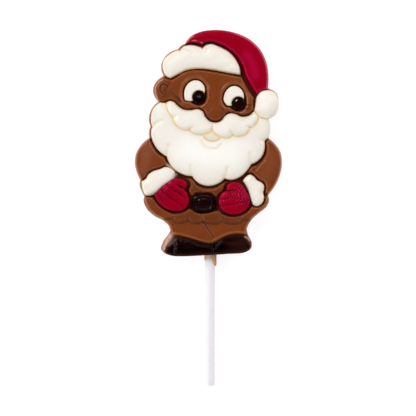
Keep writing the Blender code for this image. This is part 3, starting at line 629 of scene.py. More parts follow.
milkSizes = {
    "left": [
        [(1.6, 89.6), (-4.0, 88.8), (-8.2, 86.7), (-10.0, 84.0)],
        [(-10.0, 84.0), (-11.8, 83.3), (-12.8, 82.0)],
        [(-12.8, 82.0), (-17.4, 79.7), (-19.6, 75.3), (-18.6, 71.3)],
        [(-18.6, 71.3), (-21.7, 68.8), (-22.8, 65.6), (-22.2, 63.0), (-20.6, 61.0)],
        [(-20.6, 61.0), (-23.4, 58.1), (-24.5, 54.4), (-23.9, 51.0)],
        [(-23.9, 51.0), (-24.5, 48.8), (-24.3, 46.6)],
        [(-24.3, 46.6), (-27.6, 43.6), (-29.6, 40.2), (-30.1, 36.8), (-29.5, 33.2), (-28.0, 29.8)],
        [(-28.0, 29.8), (-28.3, 27.8), (-27.6, 25.4), (-26.4, 23.0)],
        [(-26.4, 23.0), (-26.6, 21.4), (-25.4, 18.2), (-22.2, 15.2), (-18.4, 13.1), (-16.4, 11.0),
         (-15.9, 9.0)],
        [(-15.9, 9.0), (-17.2, 7.2), (-18.1, 6.0), (-18.7, 5.2), (-19.0, 4.3), (-19.5, 3.3), (-19.7, 2.4),
         (-19.6, 1.6)],
        [(-19.6, 1.6), (-18.8, 0.8), (-17.6, 0.03), (-15.5, -0.7), (-11.4, -0.96), (-8.0, -0.88),
         (-2.0, -0.5)],
    ],
    "right": [
        [(1.6, 89.6), (8.8, 88.8), (15.6, 86.0), (20.2, 81.6), (22.7, 76.0), (23.4, 70.4), (23.2, 66.4)],
        [(23.2, 66.4), (26.3, 64.7), (27.6, 60.4), (26.4, 56.1), (23.3, 54.1)],
        [(23.3, 54.1), (24.1, 50.4), (23.4, 46.4)],
        [(23.4, 46.4), (26.0, 44.1), (28.1, 41.0), (28.8, 36.8), (28.1, 32.0), (26.0, 27.2), (23.2, 23.5)],
        [(23.2, 23.5), (23.7, 21.6), (22.7, 19.0), (19.8, 16.5), (16.6, 13.6), (14.7, 10.0)],
        [(14.7, 10.0), (15.3, 7.6), (16.7, 4.6), (16.4, 2.2), (14.4, 0.8), (8.0, 0.08), (-2.0, -0.5)],
    ],
    "rows": 380,
    "across": 214,
    "rimWidth": 0.55,
    "rimDrop": 0.5,
    # the painted highlight along the silhouette: its share by side, and where it ends above the soles
    "rimHighlight": {"right": 0.2, "left": 0.75, "lower left": 0.28, "shoulder": 45.5, "inwards": 0.1,
                 "halfWidth": 0.4, "aboveSoles": (0.8, 1.5), "hatFade": 1.0},
    "backRound": 0.35,
    "floorColumns": 6,
    "uneven": (0.035, 3, 7.0),
    # how far a field's foot spreads into the groove, how far it grows past its outline, and its steepness
    "fieldEdge": {"foot": 0.22, "grow": 0.28, "power": 0.8},
    # painted highlight along the fields' edges, stronger low down
    "fieldLight": {"inwards": 0.55, "halfWidth": 0.22, "share": 0.6, "lower": 0.3, "below": (32, 3)},
    # painted shade in the grooves between the fields
    "groove": {"from": -0.25, "width": 0.4, "atRim": 0.8, "shadeInside": 0.3},
    # the eye sockets, with painted shade inside them and a painted highlight on their rims
    "socket": {"room": 0.5, "floor": 5.9, "wall": (-0.25, 0.5), "groove": (-0.05, 0.35), "inwards": -0.6,
               "halfWidth": 0.22, "share": 0.85},
    # where white pours meet another pour, with no dark line between them
    "seams": {"lines": [
        [(18.2, 57.4), (19.5, 56.0), (21.2, 54.7), (23.2, 54.2)],
        [(23.4, 66.0), (25.3, 65.1), (26.8, 63.3)],
        [(-17.0, 35.6), (-15.4, 34.6), (-14.0, 33.4)],
        [(-13.6, 31.8), (-14.6, 30.6), (-18.4, 27.5), (-22.0, 24.3)],
    ], "halfWidth": 0.55, "share": 0.9, "rise": 0.9, "upTo": 0.6},
    # red that spread from the mittens and the hat into the grooves beside them, dark with the grooves'
    # painted shade
    "redStain": {"inwards": 0.3, "halfWidth": 0.5, "share": 0.75},
    # the painted shade is lighter in the grooves beside the face than in the others
    "softLines": {"above": 52.0, "leftOf": 12.5, "fade": 2, "share": 0.42},
    # stretches of the silhouette where white chocolate reaches the very edge
    "paleRims": {"lines": [
        [(23.3, 66.6), (26.4, 64.9), (27.7, 60.4), (26.5, 56.0), (23.4, 54.0), (24.1, 50.4), (23.4, 46.6)],
        [(-28.1, 29.4), (-28.3, 27.6), (-27.5, 25.2), (-26.5, 23.4)],
    ], "halfWidth": 0.5, "share": 0.9},
    # painted highlights along the coat's lower edge and at the right heel
    "litLines": {"lines": [
        [(-15.0, 8.4), (-12.8, 8.15), (-9.6, 7.45), (-6.4, 6.5), (-3.2, 5.45), (-0.2, 4.95)],
        [(0.6, 5.2), (1.8, 5.8), (4.8, 7.4), (8.0, 8.5), (11.2, 8.8), (14.0, 8.6)],
    ], "halfWidth": 0.36, "share": 1.1},
    "heelShine": {"lines": [[(14.0, 6.9), (15.0, 6.4), (15.8, 5.4)]], "halfWidth": 0.34, "share": 0.8},
    # the foot's end slants down beside the shoes under a painted highlight, both a little unevenly
    "footEnd": {"lines": [[(-16.0, 7.3), (-16.8, 5.8), (-17.5, 4.6), (-18.3, 3.3), (-18.7, 2.0)]],
                "halfWidth": 1.3, "reach": 1.9, "drop": 0.85, "knobs": (1, 13, 1.6), "knobRise": 0.12,
                "shineWidth": 1.15, "paintedHighlight": 0.85, "knobShine": 0.25},
}

# The raised fields: outlines, top of the side, edge and crown
faceField = {
    "outlines": [[
        [(-22.5, 65.6), (-21.5, 68.6), (-18.9, 70.8)],
        [(-18.9, 70.8), (-16.8, 69.7), (-15.2, 69.5), (-13.6, 70.4), (-10.6, 72.4), (-7.6, 73.3),
         (-4.0, 73.3), (1.0, 72.7), (7.2, 71.6), (12.4, 70.6)],
        [(12.4, 70.6), (14.05, 67.7), (15.65, 64.8), (17.3, 62.4)],
        [(17.3, 62.4), (17.1, 60.2), (17.4, 58.0)],
        [(17.4, 58.0), (15.6, 56.4), (13.4, 55.8), (11.0, 56.5), (8.6, 57.1), (6.6, 56.7), (5.4, 55.2),
         (4.0, 54.0), (2.2, 53.4), (0.4, 53.7), (-1.2, 55.0), (-2.4, 57.4), (-3.8, 58.5), (-6.4, 58.5),
         (-9.2, 58.3), (-11.4, 59.0), (-13.2, 60.7), (-15.0, 61.9), (-17.0, 61.9), (-18.0, 61.4),
         (-20.4, 61.5)],
        [(-20.4, 61.5), (-22.0, 63.2), (-22.5, 65.6)],
    ]],
    "relief": {"side": 6.3, "edgeWidth": 0.75, "edgeRise": 0.7, "crownWidth": 4.0, "crownRise": 0.5},
    "grow": 0.38,
    "nose": {"centre": (2.3, 56.3), "radii": (3.9, 4.0), "rise": 0.85},
    "bridge": {"lines": [[(1.9, 58.5), (2.0, 61.5), (2.3, 65.5)]], "halfWidth": 2.1, "rise": 0.3},
    # folds: how deep they are, and how much painted shade they get
    "folds": [
        # beside the eyes
        {"lines": [[(-14.9, 64.3), (-13.6, 62.8), (-12.4, 60.8)],
                   [(-13.2, 63.0), (-12.0, 61.4), (-11.7, 60.6)],
                   [(14.4, 59.6), (16.4, 59.3)],
                   [(13.4, 58.0), (15.6, 58.3)]],
         "halfWidth": 0.32, "depth": 0.28, "shade": 0.85},
        # the ear's rim, and the temple
        {"lines": [[(-18.8, 69.0), (-20.3, 68.0), (-21.1, 66.8), (-21.4, 65.4), (-21.1, 63.6)]],
         "halfWidth": 0.3, "depth": 0.25, "shade": 0.0},
        {"lines": [[(-16.0, 69.2), (-15.6, 66.4), (-16.4, 63.4)]],
         "halfWidth": 0.8, "depth": 0.2, "shade": 0.25},
        # beside the nose
        {"lines": [[(0.5, 58.6), (-0.5, 57.2), (-0.3, 55.3)], [(4.2, 58.5), (5.1, 57.2), (4.8, 55.6)]],
         "halfWidth": 0.55, "depth": 0.07, "shade": 0.3},
        # the ear's inner fold and its lobe
        {"lines": [[(-16.9, 66.6), (-17.6, 67.6), (-18.7, 67.9), (-19.6, 67.1), (-19.9, 65.8), (-19.6, 64.7),
                    (-18.8, 64.1)]],
         "halfWidth": 0.36, "depth": 0.4, "shade": 0.9},
        {"lines": [[(-16.4, 67.9), (-17.0, 65.4), (-18.2, 62.9)], [(-17.4, 66.2), (-18.0, 65.0)]],
         "halfWidth": 0.5, "depth": 0.25, "shade": 0.5},
    ],
    "earHollow": {"centre": (-18.7, 65.5), "radii": (2.6, 3.9), "depth": 0.45},
    # a painted highlight along the ear's rim
    "earHighlight": {"lines": [[(-18.9, 69.7), (-20.6, 68.5), (-21.6, 67.0), (-21.9, 65.5), (-21.6, 63.6),
                           (-21.0, 62.4)]],
                "halfWidth": 0.22, "share": 0.85},
    # less painted highlight at the ear's edge, and painted shade there
    "earEdge": {"centre": (-22.4, 65.5), "radii": (2.6, 5.5), "share": 0.85, "inwards": 0.25,
                "halfWidth": 0.3, "groove": 0.5},
    "socketRim": {"inwards": -0.9, "halfWidth": 0.36, "rise": 0.36},
}
# the upper lids, which the sockets and the whites of the eyes share
eyeLids = {
    "left": [(-10.4, 64.4), (-9.4, 67.3), (-7.6, 69.0), (-5.6, 69.5), (-3.6, 68.8), (-2.2, 66.9)],
    "right": [(5.5, 61.2), (5.7, 63.8), (7.0, 65.9), (8.8, 67.1), (10.6, 67.1), (12.4, 66.0), (13.5, 64.0)],
}
eyeSockets = [
    [(-9.9, 61.5), *eyeLids["left"], (-1.8, 64.4), (-2.0, 62.0), (-3.0, 60.4), (-4.6, 59.9), (-6.3, 60.5),
     (-7.6, 61.2), (-9.9, 61.5)],
    [(6.7, 59.3), *eyeLids["right"], (14.0, 61.4), (13.8, 59.2), (12.7, 57.8), (11.0, 57.5), (9.3, 58.2),
     (8.2, 59.1), (6.7, 59.3)],
]
sleeveField = {
    "outlines": [
        [
            [(-24.3, 46.2), (-27.4, 43.5), (-29.3, 40.2), (-29.8, 36.8), (-29.2, 33.3), (-27.6, 30.0)],
            [(-27.6, 30.0), (-25.8, 31.0), (-24.6, 33.0), (-22.0, 34.2), (-19.6, 34.9), (-18.4, 35.6),
             (-16.8, 35.4)],
            [(-16.8, 35.4), (-17.6, 36.8), (-18.4, 38.6)],
            [(-18.4, 38.6), (-20.8, 40.0), (-22.6, 42.4), (-24.3, 46.2)],
        ],
        [
            [(23.6, 45.9), (25.8, 43.9), (27.8, 41.0), (28.5, 36.8), (27.8, 32.1), (25.8, 27.4),
             (23.3, 24.2)],
            [(23.3, 24.2), (22.3, 24.6), (22.5, 26.6), (21.9, 28.6), (20.4, 29.6), (19.2, 30.4),
             (17.8, 32.0)],
            [(17.8, 32.0), (16.4, 32.7), (15.4, 32.8)],
            [(15.4, 32.8), (16.6, 34.5), (18.8, 35.3), (21.0, 37.2), (22.4, 39.6), (22.8, 42.6), (22.6, 44.8),
             (23.6, 45.9)],
        ],
    ],
    "relief": {"side": 6.3, "edgeWidth": 0.8, "edgeRise": 0.7, "crownWidth": 3.4, "crownRise": 0.5},
    # the upper arms: a soft ridge down each, with a painted sheen over it
    "ridges": [
        {"lines": [[(-23.8, 42.6), (-25.4, 38.4), (-26.2, 33.8)]],
         "halfWidth": 2.2, "rise": 0.4, "paintedArmSheen": 0.5},
        {"lines": [[(26.0, 38.8), (24.9, 35.0), (22.6, 31.2)]],
         "halfWidth": 2.2, "rise": 0.4, "paintedArmSheen": 0.22},
    ],
    "fold": {"lines": [[(17.6, 33.4), (19.4, 35.8)]], "halfWidth": 0.6, "depth": 0.5,
             "shadeWidth": 0.5, "shade": 0.6},
}
bellyField = {
    "outlines": [[
        [(-9.2, 30.0), (-7.3, 29.8), (-5.4, 27.5), (-3.1, 26.2), (-0.6, 25.8), (2.6, 26.4), (5.2, 28.1),
         (6.6, 28.8)],
        [(6.6, 28.8), (5.6, 27.5), (5.2, 25.4), (3.6, 24.4), (2.4, 22.8)],
        [(2.4, 22.8), (1.0, 24.3), (-2.6, 24.6), (-6.4, 24.2), (-7.0, 23.2)],
        [(-7.0, 23.2), (-8.4, 25.6), (-7.6, 27.2), (-8.0, 29.0), (-9.2, 30.0)],
    ]],
    "relief": {"side": 6.2, "edgeWidth": 0.7, "edgeRise": 0.5, "crownWidth": 3.0, "crownRise": 0.3},
    "placket": {"lines": [[(-3.3, 26.5), (-3.6, 24.7)]], "halfWidth": 0.35, "depth": 0.3,
                "shadeWidth": 0.36, "shade": 0.85},
}
coatField = {
    "outlines": [[
        [(-26.0, 22.6), (-25.8, 21.4), (-24.6, 18.4), (-21.8, 15.7), (-18.2, 13.6), (-16.0, 11.2),
         (-15.4, 9.0)],
        [(-15.4, 9.0), (-14.6, 7.8), (-12.4, 7.5), (-9.6, 6.75), (-6.4, 5.85), (-3.2, 4.85), (0.4, 4.2)],
        [(0.4, 4.2), (1.8, 4.7), (4.8, 6.5), (8.0, 7.7), (11.2, 8.15), (14.6, 7.6)],
        [(14.6, 7.6), (14.4, 10.0), (16.3, 13.8), (19.6, 16.8), (22.4, 19.2), (23.4, 21.6), (23.0, 23.2)],
        [(23.0, 23.2), (22.3, 22.8), (22.2, 21.2), (21.0, 19.4), (18.4, 18.5), (16.8, 19.0)],
        [(16.8, 19.0), (14.6, 16.6), (10.6, 14.9), (6.6, 15.2), (3.6, 17.2)],
        [(3.6, 17.2), (2.0, 17.0), (-1.0, 16.2), (-4.6, 16.2), (-6.6, 17.2)],
        [(-6.6, 17.2), (-8.4, 17.8), (-10.4, 16.7), (-14.4, 16.0), (-18.8, 18.0), (-22.4, 22.0)],
        [(-22.4, 22.0), (-24.0, 22.6), (-26.0, 22.6)],
    ]],
    "relief": {"side": 6.3, "edgeWidth": 0.75, "edgeRise": 0.6, "crownWidth": 5.0, "crownRise": 0.4},
    # the hem: its crease, the step down to the trousers, the lip above it, painted shade just below it, and
    # the coat darker over the lobes above it
    "hem": {"lines": [
        [(-18.4, 13.9), (-16.6, 14.2), (-14.8, 14.5)],
        [(-14.8, 14.5), (-13.8, 13.0), (-11.5, 12.6), (-9.4, 13.2), (-8.5, 13.9)],
        [(-8.5, 13.9), (-7.5, 12.8), (-5.8, 12.3), (-4.1, 12.5), (-2.8, 13.1)],
        [(-2.8, 13.1), (-0.8, 12.4), (1.5, 12.2), (3.5, 12.5), (4.5, 13.2)],
        [(4.5, 13.2), (7.2, 12.4), (9.9, 12.2), (12.2, 12.7), (13.2, 13.9)],
        [(13.2, 13.9), (14.9, 13.7), (16.9, 14.3)],
    ], "halfWidth": 0.32, "depth": 0.22, "drop": 0.55, "slope": 0.45},
    "hemLip": {"inwards": -0.7, "halfWidth": 0.5, "rise": 0.15},
    "hemShade": {"inwards": 0.2, "halfWidth": 0.35, "share": 0.7},
    "lobeShade": {"share": 0.36, "upTo": (30.5, 2.5), "beyondHem": (0.5, 1), "aside": (17, 3)},
    "hemFolds": {"lines": [
        [(-14.8, 14.5), (-14.6, 15.6)],
        [(-8.5, 13.9), (-8.2, 15.2)],
        [(4.5, 13.2), (3.8, 14.8), (3.5, 16.2)],
        [(13.2, 13.9), (12.6, 15.0)],
    ], "halfWidth": 0.4, "depth": 0.18},
    "placket": {"lines": [
        [(-3.5, 16.2), (-3.1, 14.9), (-2.7, 13.4)],
        [(-2.5, 12.5), (-1.5, 10.9), (-0.1, 8.9), (1.5, 6.4)],
    ], "halfWidth": 0.35, "depth": 0.35, "shift": (0.55, 0.2), "rise": 0.16,
        "shadeWidth": 0.35, "shade": 0.7},
}


def raised(points, field):
    # how far the points lie inside a field, and the field's own height there
    edge, relief = milkSizes["fieldEdge"], field["relief"]
    inwards = np.max([inwardsOf(points, loopOf(outline)) for outline in field["outlines"]], axis=0)
    inwards = inwards + field.get("grow", edge["grow"])
    climb = eased((inwards + edge["foot"]) / (relief["edgeWidth"] + edge["foot"])) ** edge["power"]
    side = relief["side"] + relief["edgeRise"] - mould["baseTop"]
    return inwards, side * climb + relief["crownRise"] * crowned(inwards, relief["crownWidth"])


def faceForms(points):
    # nose and its bridge, the folds of face and ear, and the ear's hollow
    lift = np.maximum(
        faceField["nose"]["rise"] * boss(points, faceField["nose"]),
        along(points, faceField["bridge"], "rise"),
    )
    for fold in faceField["folds"]:
        lift = lift - along(points, fold, "depth")
    return lift - faceField["earHollow"]["depth"] * boss(points, faceField["earHollow"])


def sleeveForms(points):
    # a soft ridge down each upper arm, less the fold at the right elbow
    ridges = sum(along(points, ridge, "rise") for ridge in sleeveField["ridges"])
    return ridges - along(points, sleeveField["fold"], "depth")


def bellyForms(points):
    # the line where the coat's fronts meet, above the buckle
    return -along(points, bellyField["placket"], "depth")


def belowHem(points):
    # height of the hem above each point
    hemX, hemY = joined(coatField["hem"]["lines"]).T
    return np.interp(points[:, 0], hemX, hemY) - points[:, 1]


def coatForms(points):
    # the scalloped hem's crease, the trousers a step lower, and the line where the coat's fronts meet
    hem, placket = coatField["hem"], coatField["placket"]
    below = belowHem(points)
    return (
        band(below, coatField["hemLip"], "rise")
        - along(points, hem, "depth")
        - hem["drop"] * eased(below / hem["slope"])
        - along(points, coatField["hemFolds"], "depth")
        - along(points, placket, "depth")
        + along(points + placket["shift"], placket, "rise")
    )


def milkShade(points):
    # where the milk chocolate is darker: painted shade along the fold lines and just below the hem, and
    # darker over the hem's lobes and the belly
    x, y = points.T
    below = belowHem(points)
    lobes = coatField["lobeShade"]
    front = (
        fadeOut(y, *lobes["upTo"])
        * fadeOut(below, *lobes["beyondHem"])
        * fadeOut(np.abs(x), *lobes["aside"])
    )
    folds = [bellyField["placket"], coatField["placket"], sleeveField["fold"]]
    shades = [along(points, fold, "shade") for fold in faceField["folds"]]
    shades += [along(points, fold, "shade", "shadeWidth") for fold in folds]
    return np.max([*shades, lobes["share"] * front, band(below, coatField["hemShade"])], axis=0)


def milkRimHighlight(points, edge, knobs):
    # painted highlight along the silhouette, stronger on the left, and none of it by the ear, soles and hat;
    # painted highlights at the foot's end, the ear's rim and the heel
    x, y = points.T
    shade, ear, foot = milkSizes["rimHighlight"], faceField["earEdge"], milkSizes["footEnd"]
    rim = np.where(x > 0, shade["right"], np.where(y > shade["shoulder"], shade["left"], shade["lower left"]))
    rim = rim * bell(edge - shade["inwards"], shade["halfWidth"]) * fadeIn(y, *shade["aboveSoles"])
    rim = rim * (1 - ear["share"] * boss(points, ear))
    atFoot = alongStrokes(points, foot["lines"], foot["shineWidth"])
    glows = [along(points, glow, "share") for glow in (faceField["earHighlight"], milkSizes["heelShine"])]
    rim = np.max([rim, (foot["paintedHighlight"] + foot["knobShine"] * knobs) * atFoot, *glows], axis=0)
    hatEdge = nearest(points, joined(hatSizes["outer"]), False)
    return np.clip(rim, 0, 1) * (1 - bell(hatEdge, shade["hatFade"]))


def milkHeight(points):
    # the base, rounded down at the silhouette, with the highest of the raised fields over it
    x, y = points.T
    sizes = milkSizes
    edge = nearest(points, loopBetween(sizes["left"], sizes["right"]))
    height = np.zeros(len(points))
    deepest = np.full(len(points), -mould["reach"])
    for field, forms in (
        (faceField, faceForms), (sleeveField, sleeveForms), (bellyField, bellyForms), (coatField, coatForms),
    ):
        inwards, rise = raised(points, field)
        near = inwards > -sizes["fieldEdge"]["foot"]
        fade = np.clip(inwards[near] / field["relief"]["edgeWidth"], 0, 1)
        rise[near] += fade * forms(points[near])
        height = np.maximum(height, rise)
        deepest = np.maximum(deepest, inwards)
    z = mould["baseTop"] + height
    # painted highlight along the fields' edges, painted shade in the grooves between them
    light, soft, dark = sizes["fieldLight"], sizes["softLines"], sizes["groove"]
    paintedLight = (light["share"] + light["lower"] * fadeOut(y, *light["below"])) * bell(
        deepest - light["inwards"], light["halfWidth"])
    paintedLight = np.maximum(paintedLight, along(points, sizes["litLines"], "share"))
    nearFace = fadeIn(y, soft["above"], soft["fade"]) * fadeOut(x, soft["leftOf"], soft["fade"])
    groove = (1 - fadeIn(deepest, dark["from"], dark["width"])) * (1 - soft["share"] * nearFace)
    # the eye sockets, with a raised rim round each, a painted highlight on it and painted shade inside
    socket = sizes["socket"]
    for outline in eyeSockets:
        into = inwardsOf(points, loopOf([outline])) + socket["room"]
        z = z + band(into, faceField["socketRim"], "rise")
        z = z + (socket["floor"] - z) * fadeIn(into, *socket["wall"])
        paintedLight = np.maximum(paintedLight * (into < 0), band(into, socket))
        groove = np.maximum(groove, fadeIn(into, *socket["groove"]))
    z = z + unevenness(points, *sizes["uneven"])
    rounding = 1 - np.clip(edge / sizes["rimWidth"], 0, 1)
    z = z - sizes["rimDrop"] * (1 - np.sqrt(1 - rounding**2))
    foot = sizes["footEnd"]
    knobs = unevenness(points, *foot["knobs"])
    slant = foot["knobRise"] * knobs - foot["drop"] * (1 - np.clip(edge / foot["reach"], 0, 1))
    z = z + slant * alongStrokes(points, foot["lines"], foot["halfWidth"])
    z = z + along(points, sizes["seams"], "rise") * (height < sizes["seams"]["upTo"])
    shade = milkShade(points) * (deepest > dark["shadeInside"])
    groove = np.maximum(groove * (1 - bell(edge, dark["atRim"])), shade)
    ear = faceField["earEdge"]
    reds = [loopOf(mittenSizes["left"]), loopOf(mittenSizes["right"]), joined(hatSizes["inner"])]
    toRed = np.min([nearest(points, line, False) for line in reds], axis=0)
    return z, {
        "paintedLight": paintedLight,
        "groove": np.maximum(groove, band(edge, ear, "groove") * boss(points, ear)),
        "rim": milkRimHighlight(points, edge, knobs),
        "paintedArmSheen": np.max([along(points, ridge, "paintedArmSheen") for ridge in sleeveField["ridges"]], axis=0),
        "seam": np.max([along(points, sizes[form], "share") for form in ("seams", "paleRims")], axis=0),
        "stain": band(toRed, sizes["redStain"]),
    }


def makeMilk():
    # the whole figure in one grid, from the left silhouette across to the right one
    sizes = milkSizes
    strip("milkFigure", (sizes["left"], sizes["right"]), sizes["rows"], milkHeight, "milk", "milk_body",
          sizes["rimWidth"], 0.0, sizes["across"], sizes["floorColumns"], sizes["backRound"])


# Chocolate that ran out of the mould round the stick

filmSizes = {
    "innerRadius": 1.95,
    "stickRadius": 2.05,
    "topY": 0.6,
    "axisZ": 2.75,
    "angles": 96,
    # the lower end and the thickness by angle round the stick, from +x over the top
    "atDegrees": [0, 20, 40, 52, 62, 90, 130, 160, 180, 200, 250, 300, 340, 360],
    "endY": [-4.7, -4.9, -4.7, -4.2, -2.6, -2.1, -2.2, -2.4, -2.8, -2.4, -1.8, -2.2, -4.0, -4.7],
    "thickness": [0.6, 0.62, 0.5, 0.3, 0.14, 0.12, 0.12, 0.2, 0.28, 0.3, 0.3, 0.3, 0.5, 0.6],
    # the film's section as a long loop: the shares of the thickness and of the way down, from its upper end
    "outwards": [0, 1, 1, 1, 1, 0.96, 0.82, 0.55, 0.2, 0, 0],
    "downwards": [0, 0, 0.3, 0.6, 0.82, 0.92, 0.97, 0.995, 1, 1, 0.5],
    "bead": {"inwards": 20, "halfWidth": 12, "share": 1.0},
    "cap": {"inwards": 98, "halfWidth": 36, "share": 1.0},
    "capFrom": 0.1,
}


def makeFilm():
    # point (angle, section) = stick axis + radius(section, angle) at y(section, angle)
    sizes = filmSizes
    turn = np.linspace(0, 360, sizes["angles"] + 1)[:, None]
    endY = np.interp(turn, sizes["atDegrees"], sizes["endY"])
    thick = np.interp(turn, sizes["atDegrees"], sizes["thickness"])
    outwards, downwards = np.array(sizes["outwards"]), np.array(sizes["downwards"])
    radius = sizes["innerRadius"] + outwards * (sizes["stickRadius"] - sizes["innerRadius"] + thick)
    y = sizes["topY"] + downwards * (endY - sizes["topY"])
    x = radius * np.cos(np.radians(turn))
    z = sizes["axisZ"] + radius * np.sin(np.radians(turn))
    marks = {
        "thick": band(turn, sizes["bead"]) * np.ones_like(outwards),
        "cap": band(turn, sizes["cap"]) * (downwards > sizes["capFrom"]),
    }
    standIn("milkFilm", np.dstack([x, y, z]), marks, "film", "milk_body")


# The hat, its trim and its pompom

hatSizes = {
    "outer": [
        [(-9.9, 83.9), (-8.2, 86.6), (-4.0, 88.8), (1.6, 89.6), (8.8, 88.8), (15.6, 86.0), (20.2, 81.6),
         (22.7, 76.0), (23.4, 70.4), (23.1, 65.9)],
    ],
    "inner": [
        [(-9.9, 83.9), (-7.8, 84.5), (-5.6, 84.5), (-3.0, 83.6)],
        [(-3.0, 83.6), (-1.6, 84.4), (0.6, 84.5), (3.8, 83.6), (7.7, 81.4), (11.1, 78.0), (12.8, 75.0),
         (13.6, 72.2), (14.6, 69.7), (16.1, 67.1), (18.5, 63.4)],
        [(18.5, 63.4), (20.6, 65.25), (23.1, 65.9)],
    ],
    "rows": 240,
    "relief": {"side": 6.8, "edgeWidth": 0.6, "edgeRise": 0.7, "crownWidth": 4.2, "crownRise": 0.9},
    "uneven": (0.06, 11, 6.0),
    # a painted sheen along its edges, over the bulge of its right side and at the tip
    "paleEdge": {"inwards": 0.7, "halfWidth": 0.28, "share": 0.3},
    "paleInner": {"inwards": 1.0, "halfWidth": 0.3, "share": 0.5},
    "paleBulge": {"lines": [[(14.6, 79.6), (17.0, 75.6), (18.2, 71.0)]], "halfWidth": 1.7, "share": 0.42},
    "paleTip": {"lines": [[(-9.0, 84.7), (-8.2, 86.0), (-6.2, 87.1)],
                          [(-7.4, 85.1), (-5.4, 85.2), (-3.4, 84.4)]],
                "halfWidth": 0.35, "share": 0.55, "rise": 0.22},
    # painted highlights along its outer right edge and at the tip
    "paintedHighlight": {"inwards": 0.45, "halfWidth": 0.2, "share": 0.85, "rightOf": (6.0, 8)},
    "tipShine": {"lines": [[(-9.0, 84.9), (-8.3, 85.9), (-6.6, 87.0)], [(-6.9, 85.2), (-5.6, 85.2)],
                           [(-3.6, 84.5), (-2.9, 84.2)]],
                 "halfWidth": 0.25, "share": 0.8},
    # it slants down to the trim and the face, with painted shade on the slant
    "bevel": {"foot": 5.9, "slope": 2.1, "width": 0.7, "shade": 0.95},
}
trimSizes = {
    "upper": [
        [(-19.0, 75.2), (-18.3, 77.8), (-16.0, 80.0), (-12.1, 81.6)],
        [(-12.1, 81.6), (-11.0, 82.8), (-8.8, 83.6), (-5.8, 83.4), (-3.0, 82.4)],
        [(-3.0, 82.4), (-1.4, 83.7), (0.6, 84.0), (3.6, 83.0), (8.0, 80.5), (10.6, 77.4), (12.1, 74.0),
         (12.2, 71.6)],
    ],
    "lower": [
        [(-19.0, 75.2), (-18.6, 72.9), (-17.4, 71.0), (-15.6, 70.3)],
        [(-15.6, 70.3), (-12.8, 71.8), (-9.4, 73.4), (-5.2, 74.0), (0.8, 73.6), (7.2, 72.4), (12.2, 71.6)],
    ],
    "rows": 220,
    "relief": {"side": 6.7, "edgeWidth": 0.8, "edgeRise": 0.9, "crownWidth": 4.5, "crownRise": 0.9},
    "across": 50,
    "uneven": (0.06, 6, 6),
    "tufts": (0.1, 5, 3.2),
    "tuftsRightOf": (3, 6),
    "creases": {"lines": [
        [(-12.0, 81.5), (-9.6, 81.1), (-7.2, 80.2)],
        [(-3.0, 82.4), (-1.4, 81.5)],
        [(8.4, 78.2), (10.0, 77.4), (10.6, 75.8)],
    ], "halfWidth": 0.85, "depth": 0.35, "shade": 0.15},
    # painted shade, yellowed, along the lower edge by the face; a red touch of the hat along the upper edge
    "gold": {"inwards": 0.3, "halfWidth": 0.4, "share": 0.8},
    "stain": {"inwards": 0.0, "halfWidth": 0.35, "share": 0.8},
}
pompomSizes = {
    "centre": (22.6, 60.1),
    "radii": (4.75, 5.7),
    "outline": [
        [(17.9, 57.3), (18.15, 60.1), (18.7, 62.9), (20.4, 65.0), (22.6, 65.5), (25.3, 64.8), (27.0, 62.6),
         (27.6, 60.1), (27.0, 57.4), (25.3, 55.2), (22.9, 54.1)],
        [(22.9, 54.1), (21.1, 54.45), (19.1, 55.6), (17.9, 57.3)],
    ],
    # the beard meets it here, so neither has its full rounded edge
    "joint": {"line": [(17.9, 57.3), (19.1, 55.6), (21.1, 54.4), (22.9, 54.0)],
              "halfWidth": 0.8, "rise": 0.8},
    "relief": {"side": 6.6, "edgeWidth": 0.8, "edgeRise": 0.9, "crownWidth": 4.7, "crownRise": 1.4},
    "uneven": (0.06, 8, 4.0),
    # painted shade along the joint, and a painted sheen in its middle
    "crease": 0.5,
    "paintedSheen": 0.35,
    "stain": {"inwards": 0.0, "halfWidth": 0.3, "share": 0.6},
    "edgeLeftOf": (20.5, 1.5),
}


def makeHat():
    sizes = hatSizes
    loop = loopBetween(sizes["outer"], sizes["inner"])

    def height(points):
        # a swell held down by the bevel, a little higher at the tip; painted shade on the bevel, and a
        # painted sheen and painted highlights along its edges
        inwards = nearest(points, loop)
        toTrim = nearest(points, joined(sizes["inner"][1:2]), False)
        toRim = nearest(points, joined(sizes["outer"]), False)
        z = swell(inwards, sizes["relief"]) + unevenness(points, *sizes["uneven"])
        z, slant = bevelled(z, points, sizes["inner"][1:2], sizes["bevel"])
        z = z + along(points, sizes["paleTip"], "rise")
        paintedSheen = np.max([
            band(inwards, sizes["paleEdge"]), band(toTrim, sizes["paleInner"]),
            along(points, sizes["paleBulge"], "share"), along(points, sizes["paleTip"], "share"),
        ], axis=0)
        paintedHighlight = band(toRim, sizes["paintedHighlight"]) * fadeIn(points[:, 0], *sizes["paintedHighlight"]["rightOf"])
        return z, {
            "crease": sizes["bevel"]["shade"] * slant,
            "paintedSheen": paintedSheen * (1 - slant),
            "paintedHighlight": np.maximum(paintedHighlight, along(points, sizes["tipShine"], "share")),
        }

    strip("redHat", (sizes["outer"], sizes["inner"]), sizes["rows"], height, "red hat", "hat",
          sizes["relief"]["edgeWidth"])


